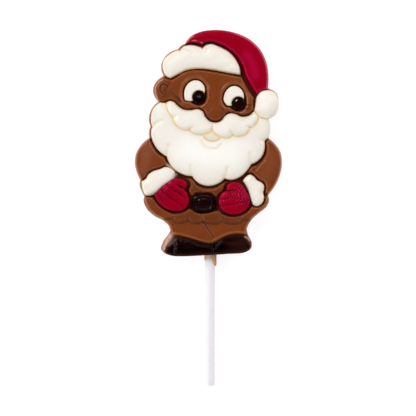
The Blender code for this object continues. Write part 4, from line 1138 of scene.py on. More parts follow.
def makeTrim():
    sizes = trimSizes
    loop = loopBetween(sizes["upper"], sizes["lower"])

    def height(points):
        # a swell with tufts that grow towards the right end, less three creases, with painted shade in them
        # and along the lower edge
        inwards = nearest(points, loop)
        toFace = nearest(points, joined(sizes["lower"][1:]), False)
        toHat = nearest(points, joined(sizes["upper"][1:]), False)
        fade = np.clip(inwards / sizes["relief"]["edgeWidth"], 0, 1)
        tufts = unevenness(points, *sizes["tufts"]) * fadeIn(points[:, 0], *sizes["tuftsRightOf"])
        tufts = tufts + unevenness(points, *sizes["uneven"])
        z = swell(inwards, sizes["relief"]) + fade * (tufts - along(points, sizes["creases"], "depth"))
        crease = along(points, sizes["creases"], "shade") + band(toFace, sizes["gold"])
        return z, whiteMarks(inwards, crease, stain=band(toHat, sizes["stain"]))

    strip("hatTrim", (sizes["upper"], sizes["lower"]), sizes["rows"], height, "white", "hat_trim",
          sizes["relief"]["edgeWidth"], across=sizes["across"])


def atJoint(points):
    # bell of the distance to the line where pompom and beard meet
    joint = pompomSizes["joint"]
    return bell(nearest(points, strokeCurve(joint["line"]), False), joint["halfWidth"])


def makePompom():
    sizes = pompomSizes

    def height(points, inwards):
        # a swell that keeps its height and has no painted edge shade where the beard meets it
        joint = atJoint(points)
        toHat = nearest(points, strokeCurve(hatSizes["inner"][2]), False)
        z = swell(inwards + sizes["joint"]["rise"] * joint, sizes["relief"])
        paintedSheen = sizes["paintedSheen"] * boss(points, sizes)
        marks = whiteMarks(inwards, sizes["crease"] * joint, paintedSheen=paintedSheen, stain=band(toHat, sizes["stain"]))
        marks["edge"] = marks["edge"] * fadeOut(points[:, 0], *sizes["edgeLeftOf"]) * (1 - joint)
        marks["thin"] = marks["thin"] * (1 - joint)
        return z + unevenness(points, *sizes["uneven"]), marks

    island("pompomBall", loopOf(sizes["outline"]), sizes["centre"], height, "white", "pompom")


# The beard with its moustache and mouth

beardSizes = {
    "upper": [
        [(-23.1, 50.8), (-23.7, 54.0), (-22.9, 57.8), (-20.1, 60.6)],
        [(-20.1, 60.6), (-17.6, 60.4)],
        [(-17.6, 60.4), (-16.2, 61.2), (-14.6, 60.9), (-13.0, 59.4), (-10.8, 57.9), (-7.8, 57.5),
         (-4.8, 57.9), (-3.0, 57.1), (-1.8, 54.8), (0.0, 53.1), (2.2, 52.6), (4.4, 53.3), (6.0, 55.2),
         (7.8, 56.2), (10.0, 56.0), (12.8, 54.9), (15.4, 55.3), (17.8, 57.2)],
        [(17.8, 57.2), (19.3, 55.8), (21.2, 54.7), (23.0, 54.2)],
        [(23.0, 54.2), (23.7, 52.2), (23.9, 50.4)],
    ],
    "lower": [
        [(-23.1, 50.8), (-23.6, 48.6), (-23.3, 46.3)],
        [(-23.3, 46.3), (-22.0, 43.2), (-20.0, 40.8), (-17.3, 39.0)],
        [(-17.3, 39.0), (-16.2, 36.2), (-13.8, 33.5), (-10.6, 31.7), (-7.1, 31.1)],
        [(-7.1, 31.1), (-4.6, 28.4), (-0.8, 27.2), (3.0, 28.0), (5.9, 30.2)],
        [(5.9, 30.2), (8.6, 29.6), (12.0, 30.8), (15.0, 33.6), (16.5, 35.9)],
        [(16.5, 35.9), (19.0, 37.1), (20.9, 39.2), (21.9, 42.2), (21.8, 45.1)],
        [(21.8, 45.1), (23.2, 46.6)],
        [(23.2, 46.6), (23.8, 48.5), (23.9, 50.4)],
    ],
    "centre": (0.0, 42.0),
    "spokes": 700,
    "rings": 72,
    "relief": {"side": 6.5, "edgeWidth": 0.8, "edgeRise": 0.8, "crownWidth": 6.0, "crownRise": 0.95},
    "uneven": (0.05, 21, 7.0),
    # a painted highlight over the middle of the beard
    "centreHighlight": {"lines": [[(-8.0, 41.6), (0.0, 39.2), (8.5, 40.6)]], "halfWidth": 6.5, "share": 0.9},
    "creases": {"lines": [
        [(-17.3, 39.0), (-16.9, 41.0), (-16.3, 43.4)],
        [(-7.1, 31.1), (-7.5, 33.0), (-7.6, 35.2)],
        [(5.9, 30.2), (6.6, 32.2), (7.2, 34.6)],
        [(16.5, 35.9), (16.2, 38.0), (15.9, 40.2)],
        [(-23.1, 50.8), (-21.4, 52.2), (-19.6, 53.2)],
        [(21.8, 45.1), (20.6, 45.5)],
    ], "halfWidth": 0.75, "depth": 0.32, "shade": 0.2},
    "moustache": [
        [(-17.6, 60.4), (-16.9, 57.4), (-15.0, 54.5)],
        [(-15.0, 54.5), (-14.0, 52.1), (-11.6, 50.0), (-8.1, 49.4)],
        [(-8.1, 49.4), (-5.8, 48.0), (-3.0, 47.7), (-0.8, 48.4), (0.9, 49.3)],
        [(0.9, 49.3), (2.8, 47.6), (5.0, 46.6), (7.2, 46.4), (9.1, 47.5)],
        [(9.1, 47.5), (11.6, 46.9), (14.4, 47.8), (15.9, 50.3)],
        [(15.9, 50.3), (18.2, 51.8), (19.3, 54.2), (17.8, 57.2)],
    ],
    "moustacheRise": {"width": 1.8, "rise": 0.4, "crownWidth": 3.6, "crownRise": 0.6},
    "moustacheGroove": {"inwards": 0.0, "halfWidth": 0.55, "depth": 0.08},
    "moustacheLine": {"inwards": 0.0, "halfWidth": 0.42, "shade": 0.95},
    "moustacheShadow": {"inwards": 0.0, "halfWidth": 1.6, "share": 0.35},
    "partings": {"lines": [
        [(0.9, 49.5), (1.1, 51.2), (1.2, 52.6)],
        [(-15.0, 54.5), (-13.6, 54.9)],
        [(-8.1, 49.7), (-7.0, 50.6)],
        [(9.1, 47.6), (8.2, 48.8)],
        [(15.9, 50.3), (14.6, 51.0)],
    ], "halfWidth": 0.6, "depth": 0.3, "shade": 0.25},
    "mouth": {"outline": [[(-2.7, 47.3), (-0.9, 48.0), (0.9, 48.6), (2.7, 47.4), (3.9, 46.3)],
                          [(3.9, 46.3), (3.0, 45.5), (1.4, 45.1), (-0.3, 45.2), (-1.7, 45.9), (-2.7, 47.3)]],
              "rise": 0.35, "foot": 0.2, "edge": 0.7, "share": 0.9},
    "mouthEdge": {"inwards": 0.0, "halfWidth": 0.35, "shade": 0.95, "brown": 0.14},
    "lip": {"lines": [[(-3.4, 45.2), (-2.1, 42.9), (0.6, 42.0), (3.1, 42.3), (4.3, 43.6)]],
            "halfWidth": 0.6, "depth": 0.22, "shade": 0.3},
    "chin": {"centre": (0.0, 38.5), "radii": (13.0, 8.0), "rise": 0.45},
    "jointCrease": 0.45,
    "edgeLeftOf": (23.0, 1.5),
}


def makeBeard():
    sizes = beardSizes
    moustacheEdge = joined(sizes["moustache"])
    moustacheTop = strokeCurve(sizes["upper"][2])[::-1]
    moustacheLoop = np.vstack([moustacheEdge, moustacheTop[1:-1]])
    mouthLoop = loopOf(sizes["mouth"]["outline"])

    def height(points, inwards):
        # lobes and creases, the moustache a step higher, the mouth a low lens with a lip line below it;
        # painted shade in the creases and under the moustache, and a painted highlight over the middle
        mouth, step = sizes["mouth"], sizes["moustacheRise"]
        fade = np.clip(inwards / sizes["relief"]["edgeWidth"], 0, 1)
        beyond = nearest(points, moustacheEdge, False)
        over = inside(points, moustacheLoop)
        into = inwardsOf(points, mouthLoop)
        lens = eased((into + mouth["foot"]) / (mouth["edge"] + mouth["foot"]))
        moustache = step["rise"] * eased(beyond / step["width"])
        moustache = moustache + step["crownRise"] * crowned(beyond, step["crownWidth"])
        forms = (
            moustache * over
            - band(beyond, sizes["moustacheGroove"], "depth")
            - along(points, sizes["creases"], "depth")
            - along(points, sizes["partings"], "depth") * over
            + mouth["rise"] * lens
            - along(points, sizes["lip"], "depth")
            + sizes["chin"]["rise"] * boss(points, sizes["chin"])
            + unevenness(points, *sizes["uneven"])
        )
        crease = (
            band(beyond, sizes["moustacheLine"], "shade")
            + band(into, sizes["mouthEdge"], "shade")
            + along(points, sizes["lip"], "shade")
            + along(points, sizes["creases"], "shade")
            + along(points, sizes["partings"], "shade") * over
        )
        centreHighlight = along(points, sizes["centreHighlight"], "share") * ~over
        marks = whiteMarks(inwards, crease, mouth["share"] * lens, centreHighlight)
        joint = atJoint(points)
        thin = np.maximum(marks["thin"], band(beyond, sizes["moustacheShadow"]) * ~over)
        edge = marks["edge"] * (1 - joint) * fadeOut(points[:, 0], *sizes["edgeLeftOf"])
        marks["thin"] = thin * (1 - joint)
        marks["edge"] = np.maximum(edge, band(into, sizes["mouthEdge"], "brown"))
        marks["crease"] = np.maximum(marks["crease"], sizes["jointCrease"] * joint)
        return swell(inwards + pompomSizes["joint"]["rise"] * joint, sizes["relief"]) + fade * forms, marks

    loop = loopBetween(sizes["upper"], sizes["lower"], mould["fineStep"])
    island("beardAndMoustache", loop, sizes["centre"], height, "white", "beard",
           sizes["spokes"], sizes["rings"])


# The eyes

eyeSizes = {
    "whites": {
        "left": [
            [(-9.9, 61.4), *eyeLids["left"], (-2.2, 64.0)],
            [(-2.2, 64.0), (-4.6, 62.4), (-7.0, 61.2), (-9.9, 61.4)],
        ],
        "right": [
            [(7.0, 59.3), *eyeLids["right"], (13.4, 61.6)],
            [(13.4, 61.6), (11.0, 60.2), (9.2, 59.4), (7.0, 59.3)],
        ],
    },
    "whiteCentres": {"left": (-6.6, 65.6), "right": (9.2, 63.6)},
    "whiteRelief": {"side": 6.8, "edgeWidth": 0.5, "edgeRise": 0.4, "crownWidth": 2.5, "crownRise": 0.3},
    "whiteMesh": {"spokes": 160, "rings": 24, "edgeWidth": 0.5},
    "uneven": (0.03, 31, 3.0),
    "thinShare": 0.3,
    # the white sinks in towards the pupil, with painted shade in the crease round it
    "hollow": {"depth": 0.5, "from": -0.3, "width": 0.7},
    "whiteCrease": {"inwards": 0.15, "halfWidth": 0.35, "share": 0.7},
    "pupils": {"left": (-4.5, 62.8), "right": (11.3, 60.3)},
    "pupilRadius": 2.62,
    "pupilRelief": {"side": 7.1, "edgeWidth": 0.2, "edgeRise": 0.3, "crownWidth": 2.4, "crownRise": 0.5},
    "pupilMesh": {"spokes": 96, "rings": 16, "edgeWidth": 0.3},
    # painted shade round the pupil's edge
    "pupilCrease": {"inwards": 0.0, "halfWidth": 0.3, "share": 0.7},
    "pupilMiddle": (0.4, 0.6),
    # a hollow in the left pupil and a tiny tilted spot in the right one catch the light
    "dimples": {
        "left": {"place": (-0.1, 0.5), "halfWidth": 0.8, "depth": 0.55, "tilt": 0.0,
                 "glint": 0.15, "warm": 0.25},
        "right": {"place": (-0.7, 1.0), "halfWidth": 0.7, "depth": 0.0, "tilt": 0.26,
                  "glint": 1.0, "warm": 0.7},
    },
    "towardsLamp": (-0.695, 0.719),
    "floor": 5.8,
}


def makeEye(side):
    # the white is a low dome that the pupil stands in; the pupil is a steeper glossy dome
    sizes = eyeSizes
    pupil = np.array(sizes["pupils"][side])

    def whiteHeight(points, inwards):
        hollow = sizes["hollow"]
        away = np.hypot(*(points - pupil).T) - sizes["pupilRadius"]
        z = swell(inwards, sizes["whiteRelief"]) + unevenness(points, *sizes["uneven"])
        z = z - hollow["depth"] * (1 - fadeIn(away, hollow["from"], hollow["width"]))
        marks = whiteMarks(inwards, band(away, sizes["whiteCrease"]))
        return z, marks | {"thin": marks["thin"] * sizes["thinShare"]}

    def pupilHeight(points, inwards):
        dimple = sizes["dimples"][side]
        offset = points - pupil - dimple["place"]
        spot = bell(np.hypot(*offset.T), dimple["halfWidth"])
        sunk = dimple["depth"] + dimple["tilt"] * (offset @ sizes["towardsLamp"])
        return swell(inwards, sizes["pupilRelief"]) - sunk * spot, {
            "crease": band(inwards, sizes["pupilCrease"]),
            "glint": dimple["glint"] * spot,
            "warm": dimple["warm"] * fadeIn(inwards, *sizes["pupilMiddle"]),
        }

    whiteLoop = loopOf(sizes["whites"][side], mould["fineStep"])
    island("eyeWhite" + side.title(), whiteLoop, sizes["whiteCentres"][side], whiteHeight, "white",
           "eye_white_" + side, floor=sizes["floor"], **sizes["whiteMesh"])
    pupilLoop = oval(pupil, (sizes["pupilRadius"], sizes["pupilRadius"]))
    island("pupil" + side.title(), pupilLoop, pupil, pupilHeight, "dark", "pupil_" + side,
           floor=sizes["floor"], **sizes["pupilMesh"])


# Cuffs and mittens

cuffSizes = {
    "left": [
        [(-27.3, 29.2), (-25.8, 30.0), (-24.6, 31.9), (-22.6, 33.2), (-20.0, 34.0), (-17.9, 34.8),
         (-15.8, 34.4), (-13.9, 32.2), (-14.4, 30.4), (-18.3, 27.4), (-21.9, 24.4), (-24.0, 23.4),
         (-25.6, 23.5), (-27.0, 25.9), (-27.3, 29.2)],
    ],
    "right": [
        [(13.1, 29.2), (14.4, 30.9), (16.0, 31.8), (17.6, 30.9), (18.8, 29.6), (20.3, 28.8), (21.5, 27.6),
         (21.7, 26.2), (21.3, 24.8), (21.6, 22.2), (20.8, 20.2), (18.6, 19.1), (17.1, 19.8), (16.3, 21.6),
         (15.2, 25.4), (13.1, 29.2)],
    ],
    "centres": {"left": (-21.2, 29.2), "right": (18.4, 25.6)},
    "relief": {"side": 6.6, "edgeWidth": 0.8, "edgeRise": 0.9, "crownWidth": 2.8, "crownRise": 0.8},
    "uneven": (0.05, 41, 4.0),
    "spokes": 220,
    "rings": 30,
    # the side towards the mitten slants down to it, and the left one is browner there, as painted shade on
    # the slant and as thin chocolate
    "slants": {
        "left": [[(-13.9, 32.2), (-14.4, 30.4), (-18.3, 27.4), (-21.9, 24.4), (-24.0, 23.4)]],
        "right": [[(13.1, 29.2), (15.2, 25.4), (16.3, 21.6), (17.1, 19.8)]],
    },
    "bevels": {
        "left": {"foot": 6.9, "slope": 1.2, "width": 0.8, "thin": 0.8},
        "right": {"foot": 6.3, "slope": 2.4, "width": 0.4, "thin": 0.0},
    },
}
mittenSizes = {
    "left": [
        [(-22.3, 23.7), (-17.6, 28.2), (-13.6, 30.3), (-10.8, 29.8), (-9.1, 27.8), (-10.1, 25.6)],
        [(-10.1, 25.6), (-8.8, 23.6), (-8.4, 20.8), (-9.4, 18.6), (-12.2, 17.1), (-15.4, 17.3),
         (-19.4, 19.3), (-22.3, 23.7)],
    ],
    "right": [
        [(6.6, 25.4), (6.7, 27.4), (8.6, 28.6), (10.8, 28.7), (12.7, 27.8), (14.6, 25.1), (16.0, 21.6),
         (15.7, 19.4)],
        [(15.7, 19.4), (13.9, 17.2), (10.4, 15.8), (6.8, 16.2), (4.2, 18.4), (3.4, 21.0), (3.9, 23.2),
         (6.6, 25.4)],
    ],
    "centres": {"left": (-14.0, 22.8), "right": (9.6, 21.5)},
    "relief": {"side": 7.0, "edgeWidth": 0.5, "edgeRise": 0.7, "crownWidth": 4.0, "crownRise": 0.8},
    "uneven": (0.05, 51, 2.6),
    "fadeWidth": 0.9,
    "spokes": 240,
    "rings": 48,
    # a painted sheen just inside the outline, and painted shade at it
    "paleEdge": {"inwards": 0.6, "halfWidth": 0.22, "share": 0.2},
    "darkEdge": {"inwards": 0.0, "halfWidth": 0.25, "share": 0.6},
    # the left cuff covers the painted edge shade there
    "underCuff": {"left": 1.0, "right": 0.0, "halfWidth": 0.8},
    "thumbs": {
        "left": [[(-10.0, 26.1), (-11.0, 26.3), (-12.4, 27.1)]],
        "right": [[(6.4, 25.3), (8.0, 25.2), (10.2, 25.3)]],
    },
    "thumbSize": {"halfWidth": 0.5, "depth": 0.4, "shade": 0.6},
    "wrinkles": {
        "left": [
            [(-14.5, 29.2), (-13.6, 28.0), (-12.6, 27.5), (-11.6, 26.6)],
            [(-17.0, 28.1), (-16.1, 26.7), (-15.2, 26.3), (-14.4, 25.4), (-12.8, 24.5), (-11.6, 23.4),
             (-10.1, 22.6)],
            [(-19.5, 26.1), (-18.5, 24.5), (-17.4, 23.9), (-16.6, 22.9), (-15.1, 21.9), (-13.1, 20.6),
             (-11.1, 19.0)],
            [(-21.1, 24.0), (-19.8, 22.6), (-18.8, 21.1)],
        ],
        "right": [
            [(3.8, 21.9), (5.6, 21.8), (7.8, 22.2)],
            [(4.1, 19.3), (7.0, 19.6), (9.8, 19.9), (12.8, 20.6), (15.6, 21.6)],
            [(7.7, 24.8), (8.4, 23.3), (9.2, 22.4)],
        ],
    },
    # folds with painted shade in them and a painted sheen beside them
    "wrinkleSize": {"halfWidth": 0.42, "depth": 0.16, "shade": 0.5},
    "besideWrinkles": {"shift": (0.35, 0.5), "halfWidth": 0.4, "paintedSheen": 0.25},
    # knitted ribs: the way they run, how far apart they are, how high, how wavy, the painted sheen on their
    # tops, and where they are strongest
    "ribs": {
        "left": {"along": (0.78, -0.62), "apart": 0.85, "rise": 0.035, "waves": 0.0, "paintedSheen": 0.2,
                 "centre": (-18.0, 24.6), "radii": (3.4, 3.4)},
        "right": {"along": (1.0, 0.12), "apart": 1.2, "rise": 0.14, "waves": 0.3, "paintedSheen": 0.8,
                  "centre": (12.4, 23.6), "radii": (2.8, 3.8)},
    },
    "ribWaves": {"apart": 2.1, "uneven": (0.12, 52, 3.0)},
    "ribStrength": {"everywhere": 0.25, "middle": 0.75, "shade": 0.8},
    "creaseUpTo": 0.85,
    "paleUpTo": 0.8,
}


def makeCuff(side):
    sizes = cuffSizes

    def height(points, inwards):
        # a swell held down by the bevel towards the mitten
        z = swell(inwards, sizes["relief"]) + unevenness(points, *sizes["uneven"])
        bevel = sizes["bevels"][side]
        z, slant = bevelled(z, points, sizes["slants"][side], bevel)
        marks = whiteMarks(inwards)
        marks["thin"] = np.maximum(marks["thin"], bevel["thin"] * slant)
        marks["edge"] = marks["edge"] * (1 - slant * (bevel["thin"] > 0))
        return z, marks

    island("cuff" + side.title(), loopOf(sizes[side], mould["fineStep"]), sizes["centres"][side], height,
           "white", "cuff_" + side, sizes["spokes"], sizes["rings"])


def knitted(points, side):
    # ribs as a cosine along their way, between -1 and 1 times their strength, and the strength
    ribs, waves, share = mittenSizes["ribs"][side], mittenSizes["ribWaves"], mittenSizes["ribStrength"]
    travel = points @ ribs["along"]
    across = points @ [ribs["along"][1], -ribs["along"][0]]
    travel = travel + ribs["waves"] * np.sin(across * 2 * np.pi / waves["apart"])
    travel = travel + unevenness(points, *waves["uneven"])
    strength = share["everywhere"] + share["middle"] * boss(points, ribs)
    return strength * np.cos(travel * 2 * np.pi / ribs["apart"]), strength


def makeMitten(side):
    sizes = mittenSizes

    def height(points, inwards):
        # folds across the hand, the crease that marks off the thumb, and the ribs; painted shade in folds,
        # crease and rib hollows and at the outline, and a painted sheen on the rib tops, beside the folds and
        # inside the outline
        wrinkle, thumb, beside = sizes["wrinkleSize"], sizes["thumbSize"], sizes["besideWrinkles"]
        lines, under, share = sizes["wrinkles"][side], sizes["underCuff"], sizes["ribStrength"]
        wrinkles = alongStrokes(points, lines, wrinkle["halfWidth"])
        atThumb = alongStrokes(points, sizes["thumbs"][side], thumb["halfWidth"])
        knit, strength = knitted(points, side)
        forms = (
            unevenness(points, *sizes["uneven"])
            + sizes["ribs"][side]["rise"] * knit
            - wrinkle["depth"] * wrinkles
            - thumb["depth"] * atThumb
        )
        toCuff = nearest(points, joined(cuffSizes["slants"][side]), False)
        shade = (
            wrinkle["shade"] * wrinkles
            + thumb["shade"] * atThumb
            - share["shade"] * strength * np.minimum(knit, 0)
            + band(inwards, sizes["darkEdge"]) * (1 - bell(toCuff, under["halfWidth"]) * under[side])
        )
        paintedSheen = (
            band(inwards, sizes["paleEdge"])
            + sizes["ribs"][side]["paintedSheen"] * strength * np.maximum(knit, 0)
            + beside["paintedSheen"] * alongStrokes(points + beside["shift"], lines, beside["halfWidth"])
        )
        fade = np.clip(inwards / sizes["fadeWidth"], 0, 1)
        return swell(inwards, sizes["relief"]) + fade * forms, {
            "crease": np.clip(shade, 0, sizes["creaseUpTo"]),
            "paintedSheen": np.clip(paintedSheen, 0, sizes["paleUpTo"]),
        }

    island("mitten" + side.title(), loopOf(sizes[side], mould["fineStep"]), sizes["centres"][side], height,
           "red mittens", "mitten_" + side, sizes["spokes"], sizes["rings"], sizes["relief"]["edgeWidth"])


# Buckle and shoes

buckleSizes = {
    "centre": (-2.6, 20.4),
    "radii": (4.9, 3.7),
    "squareness": 2.9,
    "side": 7.1,
    "mesh": {"spokes": 200, "rings": 44, "edgeWidth": 0.3},
    "corners": 400,
    "uneven": (0.012, 61, 3.0),
    "rim": {"inwards": 1.1, "halfWidth": 0.42, "rise": 0.26},
    # painted shade in the ring between rim and plate
    "groove": {"inwards": 1.7, "halfWidth": 0.3, "share": 0.9},
    "plate": {"from": 1.9, "slope": 0.9, "rise": 0.3, "warm": 0.9},
}
shoeSizes = {
    "upper": [
        [(-18.2, 0.9), (-18.0, 1.8), (-17.6, 3.0), (-16.6, 4.0), (-15.2, 5.1), (-14.1, 6.0), (-13.0, 6.45),
         (-11.6, 6.2), (-9.6, 5.7), (-6.4, 5.0), (-3.2, 4.15), (0.4, 3.6)],
        [(0.4, 3.6), (1.8, 4.4), (4.8, 6.0), (8.0, 6.9), (11.2, 7.2), (13.4, 6.7), (15.2, 5.3), (16.1, 3.2),
         (14.6, 0.9)],
    ],
    "lower": [
        [(-18.2, 0.9), (-17.0, 0.05), (-15.0, -0.62), (-11.4, -0.88), (-8.0, -0.8), (-2.0, -0.44),
         (8.0, 0.14), (14.6, 0.9)],
    ],
    "rows": 240,
    "relief": {"side": 7.8, "edgeWidth": 0.15, "edgeRise": 0.15, "crownWidth": 2.4, "crownRise": 0.28},
    "fadeWidth": 0.9,
    "uneven": (0.03, 71, 1.8),
    "unevenStretch": (0.3, 1.2),
    "parting": {"lines": [[(0.4, 3.6), (1.0, 2.0), (1.3, 0.0)]], "halfWidth": 0.4, "depth": 0.25},
    "softRibs": {"lines": [
        [(-13.8, 4.3), (-13.6, 3.3)],
        [(-13.7, 2.0), (-13.9, 0.9)],
        [(-11.4, 5.3), (-10.4, 5.0)],
    ], "halfWidth": 0.55, "rise": 0.5},
    "ribs": {"lines": [
        [(-9.0, 4.9), (-6.1, 4.0), (-3.5, 3.1), (-1.5, 2.8), (0.4, 2.7)],
        [(2.4, 2.3), (3.3, 3.6), (4.7, 5.0)],
    ], "halfWidth": 0.32, "rise": 0.42},
    "toes": [{"centre": (-13.2, 3.9), "radii": (4.6, 3.6)}, {"centre": (13.0, 4.2), "radii": (4.6, 3.6)}],
    "toeRise": 0.3,
    "welts": {"lines": [
        [(-16.6, 1.2), (-12.0, 0.9), (-4.0, 0.9), (0.2, 1.0)],
        [(2.2, 1.2), (8.0, 1.7), (14.0, 2.1)],
    ], "halfWidth": 0.35, "depth": 0.1, "shade": 0.4},
    # painted shade along the outline
    "darkEdge": {"inwards": 0.0, "halfWidth": 0.3, "share": 1.0},
    "creaseUpTo": 0.8,
    # where the chocolate is thin it is a rusty brown: at the left end, along the soles and over the right toe
    "thinEnd": {"corners": 6, "halfWidth": 0.9, "share": 0.9},
    "thinSoles": {"inwards": 0.4, "halfWidth": 0.35, "share": 0.4},
    "thinToe": {"centre": (12.2, 3.4), "radii": (4.6, 3.4), "share": 0.18},
}


def makeBuckle():
    sizes = buckleSizes

    def height(points, inwards):
        # a raised rim round a sunk field that carries a raised plate, all of one rounded form; painted shade
        # in the sunk ring
        plate, squareness = sizes["plate"], sizes["squareness"]
        scaled = np.abs((points - sizes["centre"]) / sizes["radii"]) ** squareness
        inwards = (1 - scaled.sum(1) ** (1 / squareness)) * np.mean(sizes["radii"])
        field = fadeIn(inwards, plate["from"], plate["slope"])
        z = sizes["side"] + band(inwards, sizes["rim"], "rise") + plate["rise"] * field
        marks = {"crease": band(inwards, sizes["groove"]), "warm": plate["warm"] * field}
        return z + unevenness(points, *sizes["uneven"]), marks

    loop = oval(sizes["centre"], sizes["radii"], sizes["corners"], sizes["squareness"])
    island("beltBuckle", loop, sizes["centre"], height, "dark", "buckle", **sizes["mesh"])


def makeShoes():
    sizes = shoeSizes
    loop = loopBetween(sizes["upper"], sizes["lower"])

    def height(points):
        # two toes with a rib along each, a welt above each sole, and the crease between them; painted shade
        # in the welts, the crease and along the outline
        inwards = nearest(points, loop)
        toSole = nearest(points, joined(sizes["lower"]), False)
        forms = (
            along(points, sizes["ribs"], "rise")
            + along(points, sizes["softRibs"], "rise")
            + sizes["toeRise"] * sum(boss(points, toe) for toe in sizes["toes"])
            - along(points, sizes["welts"], "depth")
            - along(points, sizes["parting"], "depth")
            + unevenness(points * sizes["unevenStretch"], *sizes["uneven"])
        )
        thinEnd = sizes["thinEnd"]
        end = alongStrokes(points, [sizes["upper"][0][:thinEnd["corners"]]], thinEnd["halfWidth"])
        parting = alongStrokes(points, sizes["parting"]["lines"], sizes["parting"]["halfWidth"])
        crease = np.maximum(
            parting + along(points, sizes["welts"], "shade"),
            band(inwards, sizes["darkEdge"]) * (1 - end),
        )
        thin = np.max([
            thinEnd["share"] * end,
            band(toSole, sizes["thinSoles"]),
            sizes["thinToe"]["share"] * boss(points, sizes["thinToe"]),
        ], axis=0)
        fade = np.clip(inwards / sizes["fadeWidth"], 0, 1)
        return swell(inwards, sizes["relief"]) + fade * forms, {
            "crease": np.clip(crease, 0, sizes["creaseUpTo"]) * (1 - thin),
            "thin": thin,
        }

    strip("bothShoes", (sizes["upper"], sizes["lower"]), sizes["rows"], height, "dark", "shoes",
          sizes["relief"]["edgeWidth"])


# The stick

stickSizes = {
    "radius": 2.05,
    "axisZ": 2.75,
    "inside": 45.0,
    "rounding": 0.35,
    "roundingSteps": 7,
    "sides": 96,
    "stations": (0.02, 0.98, 40),
}


def makeStick():
    # turned shape: point (station, angle) = axis + radius(station); a quarter round at each end
    sizes = stickSizes
    turn = np.linspace(0, np.pi / 2, sizes["roundingSteps"])
    arcIn = sizes["rounding"] * (1 - np.cos(turn))
    arcUp = sizes["rounding"] * (1 - np.sin(turn))
    start = mould["stickEnd"]
    length = sizes["inside"] - start
    stations = np.linspace(*sizes["stations"]) * length
    radius = sizes["radius"] - np.concatenate([arcIn[::-1], stations * 0, arcIn])
    y = start + np.concatenate([arcUp[::-1], stations, length - arcUp])
    radius = np.concatenate([[0], radius, [0]])[:, None]
    y = np.concatenate([y[:1], y, y[-1:]])[:, None]
    angle = np.arange(sizes["sides"]) * 2 * np.pi / sizes["sides"]
    grid = np.dstack([radius * np.cos(angle), y + 0 * angle, sizes["axisZ"] + radius * np.sin(angle)])
    standIn("whiteStick", grid, {}, "stick", "stick")


# Floor, light and camera

stageSizes = {
    "floorHalf": 3.0,
    "floorGap": 0.00002,
    "floorColour": (0.25, 0.25, 0.25, 1.0),
    "floorRoughness": 0.9,
    "floorSpecular": 0.1,
    "floorGlow": 3.45,
    "roomAtHorizon": 0.62,
    "roomOverhead": 0.015,
    "figureMiddle": 40,
    "cameraX": -0.8,
    "cameraY": 18.4,
    "focusZ": 6.0,
    "lens": 300.0,
    "sensor": 36.0,
    "fieldWidth": 166.4,
    "clipEnd": 20.0,
}
# name: place in metres from the figure's middle, width and height, watts
lights = {
    "upper left": ((-0.60, 0.62, 0.80), (0.45, 0.32), 5.4),
    "left": ((-1.00, -0.05, 0.62), (0.70, 0.20), 4.4),
    "upper right": ((0.88, 0.48, 0.62), (0.90, 0.20), 6.2),
    "top": ((0.10, 1.05, 0.60), (0.60, 0.20), 1.8),
    "lower left": ((-0.62, -0.80, 0.62), (0.60, 0.20), 2.4),
    "lower right": ((0.55, -0.85, 0.62), (0.60, 0.20), 1.6),
}


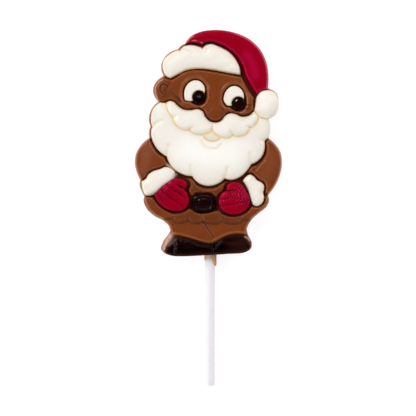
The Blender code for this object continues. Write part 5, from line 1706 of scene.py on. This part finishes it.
def makeFloor():
    # it is see-through from below, so that the back can be looked at
    half, gap = stageSizes["floorHalf"], stageSizes["floorGap"]
    corners = np.array([[-1, -1, 0], [1, -1, 0], [1, 1, 0], [-1, 1, 0]]) * half - [0, 0, gap]
    mesh = bpy.data.meshes.new("paleFloor")
    mesh.from_pydata(corners.tolist(), [], [(0, 1, 2, 3)])
    material = bpy.data.materials.new("paleFloor")
    paint = Paint(material)
    paint.plug(paint.tree.nodes["Principled BSDF"], {
        "Base Color": stageSizes["floorColour"],
        "Roughness": stageSizes["floorRoughness"],
        "Specular IOR Level": stageSizes["floorSpecular"],
        "Emission Color": stageSizes["floorColour"],
        "Emission Strength": stageSizes["floorGlow"],
        "Alpha": 1 - paint.node("ShaderNodeNewGeometry", {}, {}, "Backfacing"),
    })
    mesh.materials.append(material)
    floor = placed("paleFloor", mesh)


def makeWorld():
    # a pale room: bright towards the horizon, darker overhead where the camera is
    world = bpy.data.worlds.new("paleRoom")
    bpy.context.scene.world = world
    paint = Paint(world)
    towards = paint.node("ShaderNodeTexCoord", {}, {}, "Generated")
    up = paint.node("ShaderNodeSeparateXYZ", {}, {0: towards}, "Z")
    strength = paint.node("ShaderNodeMapRange", {}, {
        "Value": up, "To Min": stageSizes["roomAtHorizon"], "To Max": stageSizes["roomOverhead"],
    })
    paint.plug(paint.tree.nodes["Background"], {"Color": (1.0, 1.0, 1.0, 1.0), "Strength": strength})


def makeLights():
    target = Vector(mouldOrigin + np.array([0, stageSizes["figureMiddle"] * mm, 0]))
    for name, (place, size, watts) in lights.items():
        lamp = bpy.data.lights.new(name, "AREA")
        lamp.shape = "RECTANGLE"
        lamp.size, lamp.size_y = size
        lamp.energy = watts
        holder = placed(name, lamp)
        holder.location = target + Vector(place)
        holder.rotation_euler = (-Vector(place)).to_track_quat("-Z", "Y").to_euler()


def makeCamera():
    data = bpy.data.cameras.new("camera")
    data.lens = stageSizes["lens"]
    data.sensor_width = stageSizes["sensor"]
    data.clip_end = stageSizes["clipEnd"]
    away = stageSizes["fieldWidth"] * stageSizes["lens"] / stageSizes["sensor"]
    camera = placed("camera", data)
    place = np.array([stageSizes["cameraX"], stageSizes["cameraY"], stageSizes["focusZ"] + away])
    camera.location = place * mm + mouldOrigin
    bpy.context.scene.camera = camera


print("finishes")
finishes = {kind: finish(look) for kind, look in looks.items()}

print("milk chocolate")
makeMilk()
makeFilm()

print("hat")
makeHat()
makeTrim()
makePompom()

print("beard and face")
makeBeard()
for side in ("left", "right"):
    makeEye(side)

print("hands, buckle and shoes")
for side in ("left", "right"):
    makeCuff(side)
    makeMitten(side)
makeBuckle()
makeShoes()
makeStick()

print("stage")
makeFloor()
makeWorld()
makeLights()
makeCamera()
bpy.context.scene.view_settings.view_transform = "Standard"
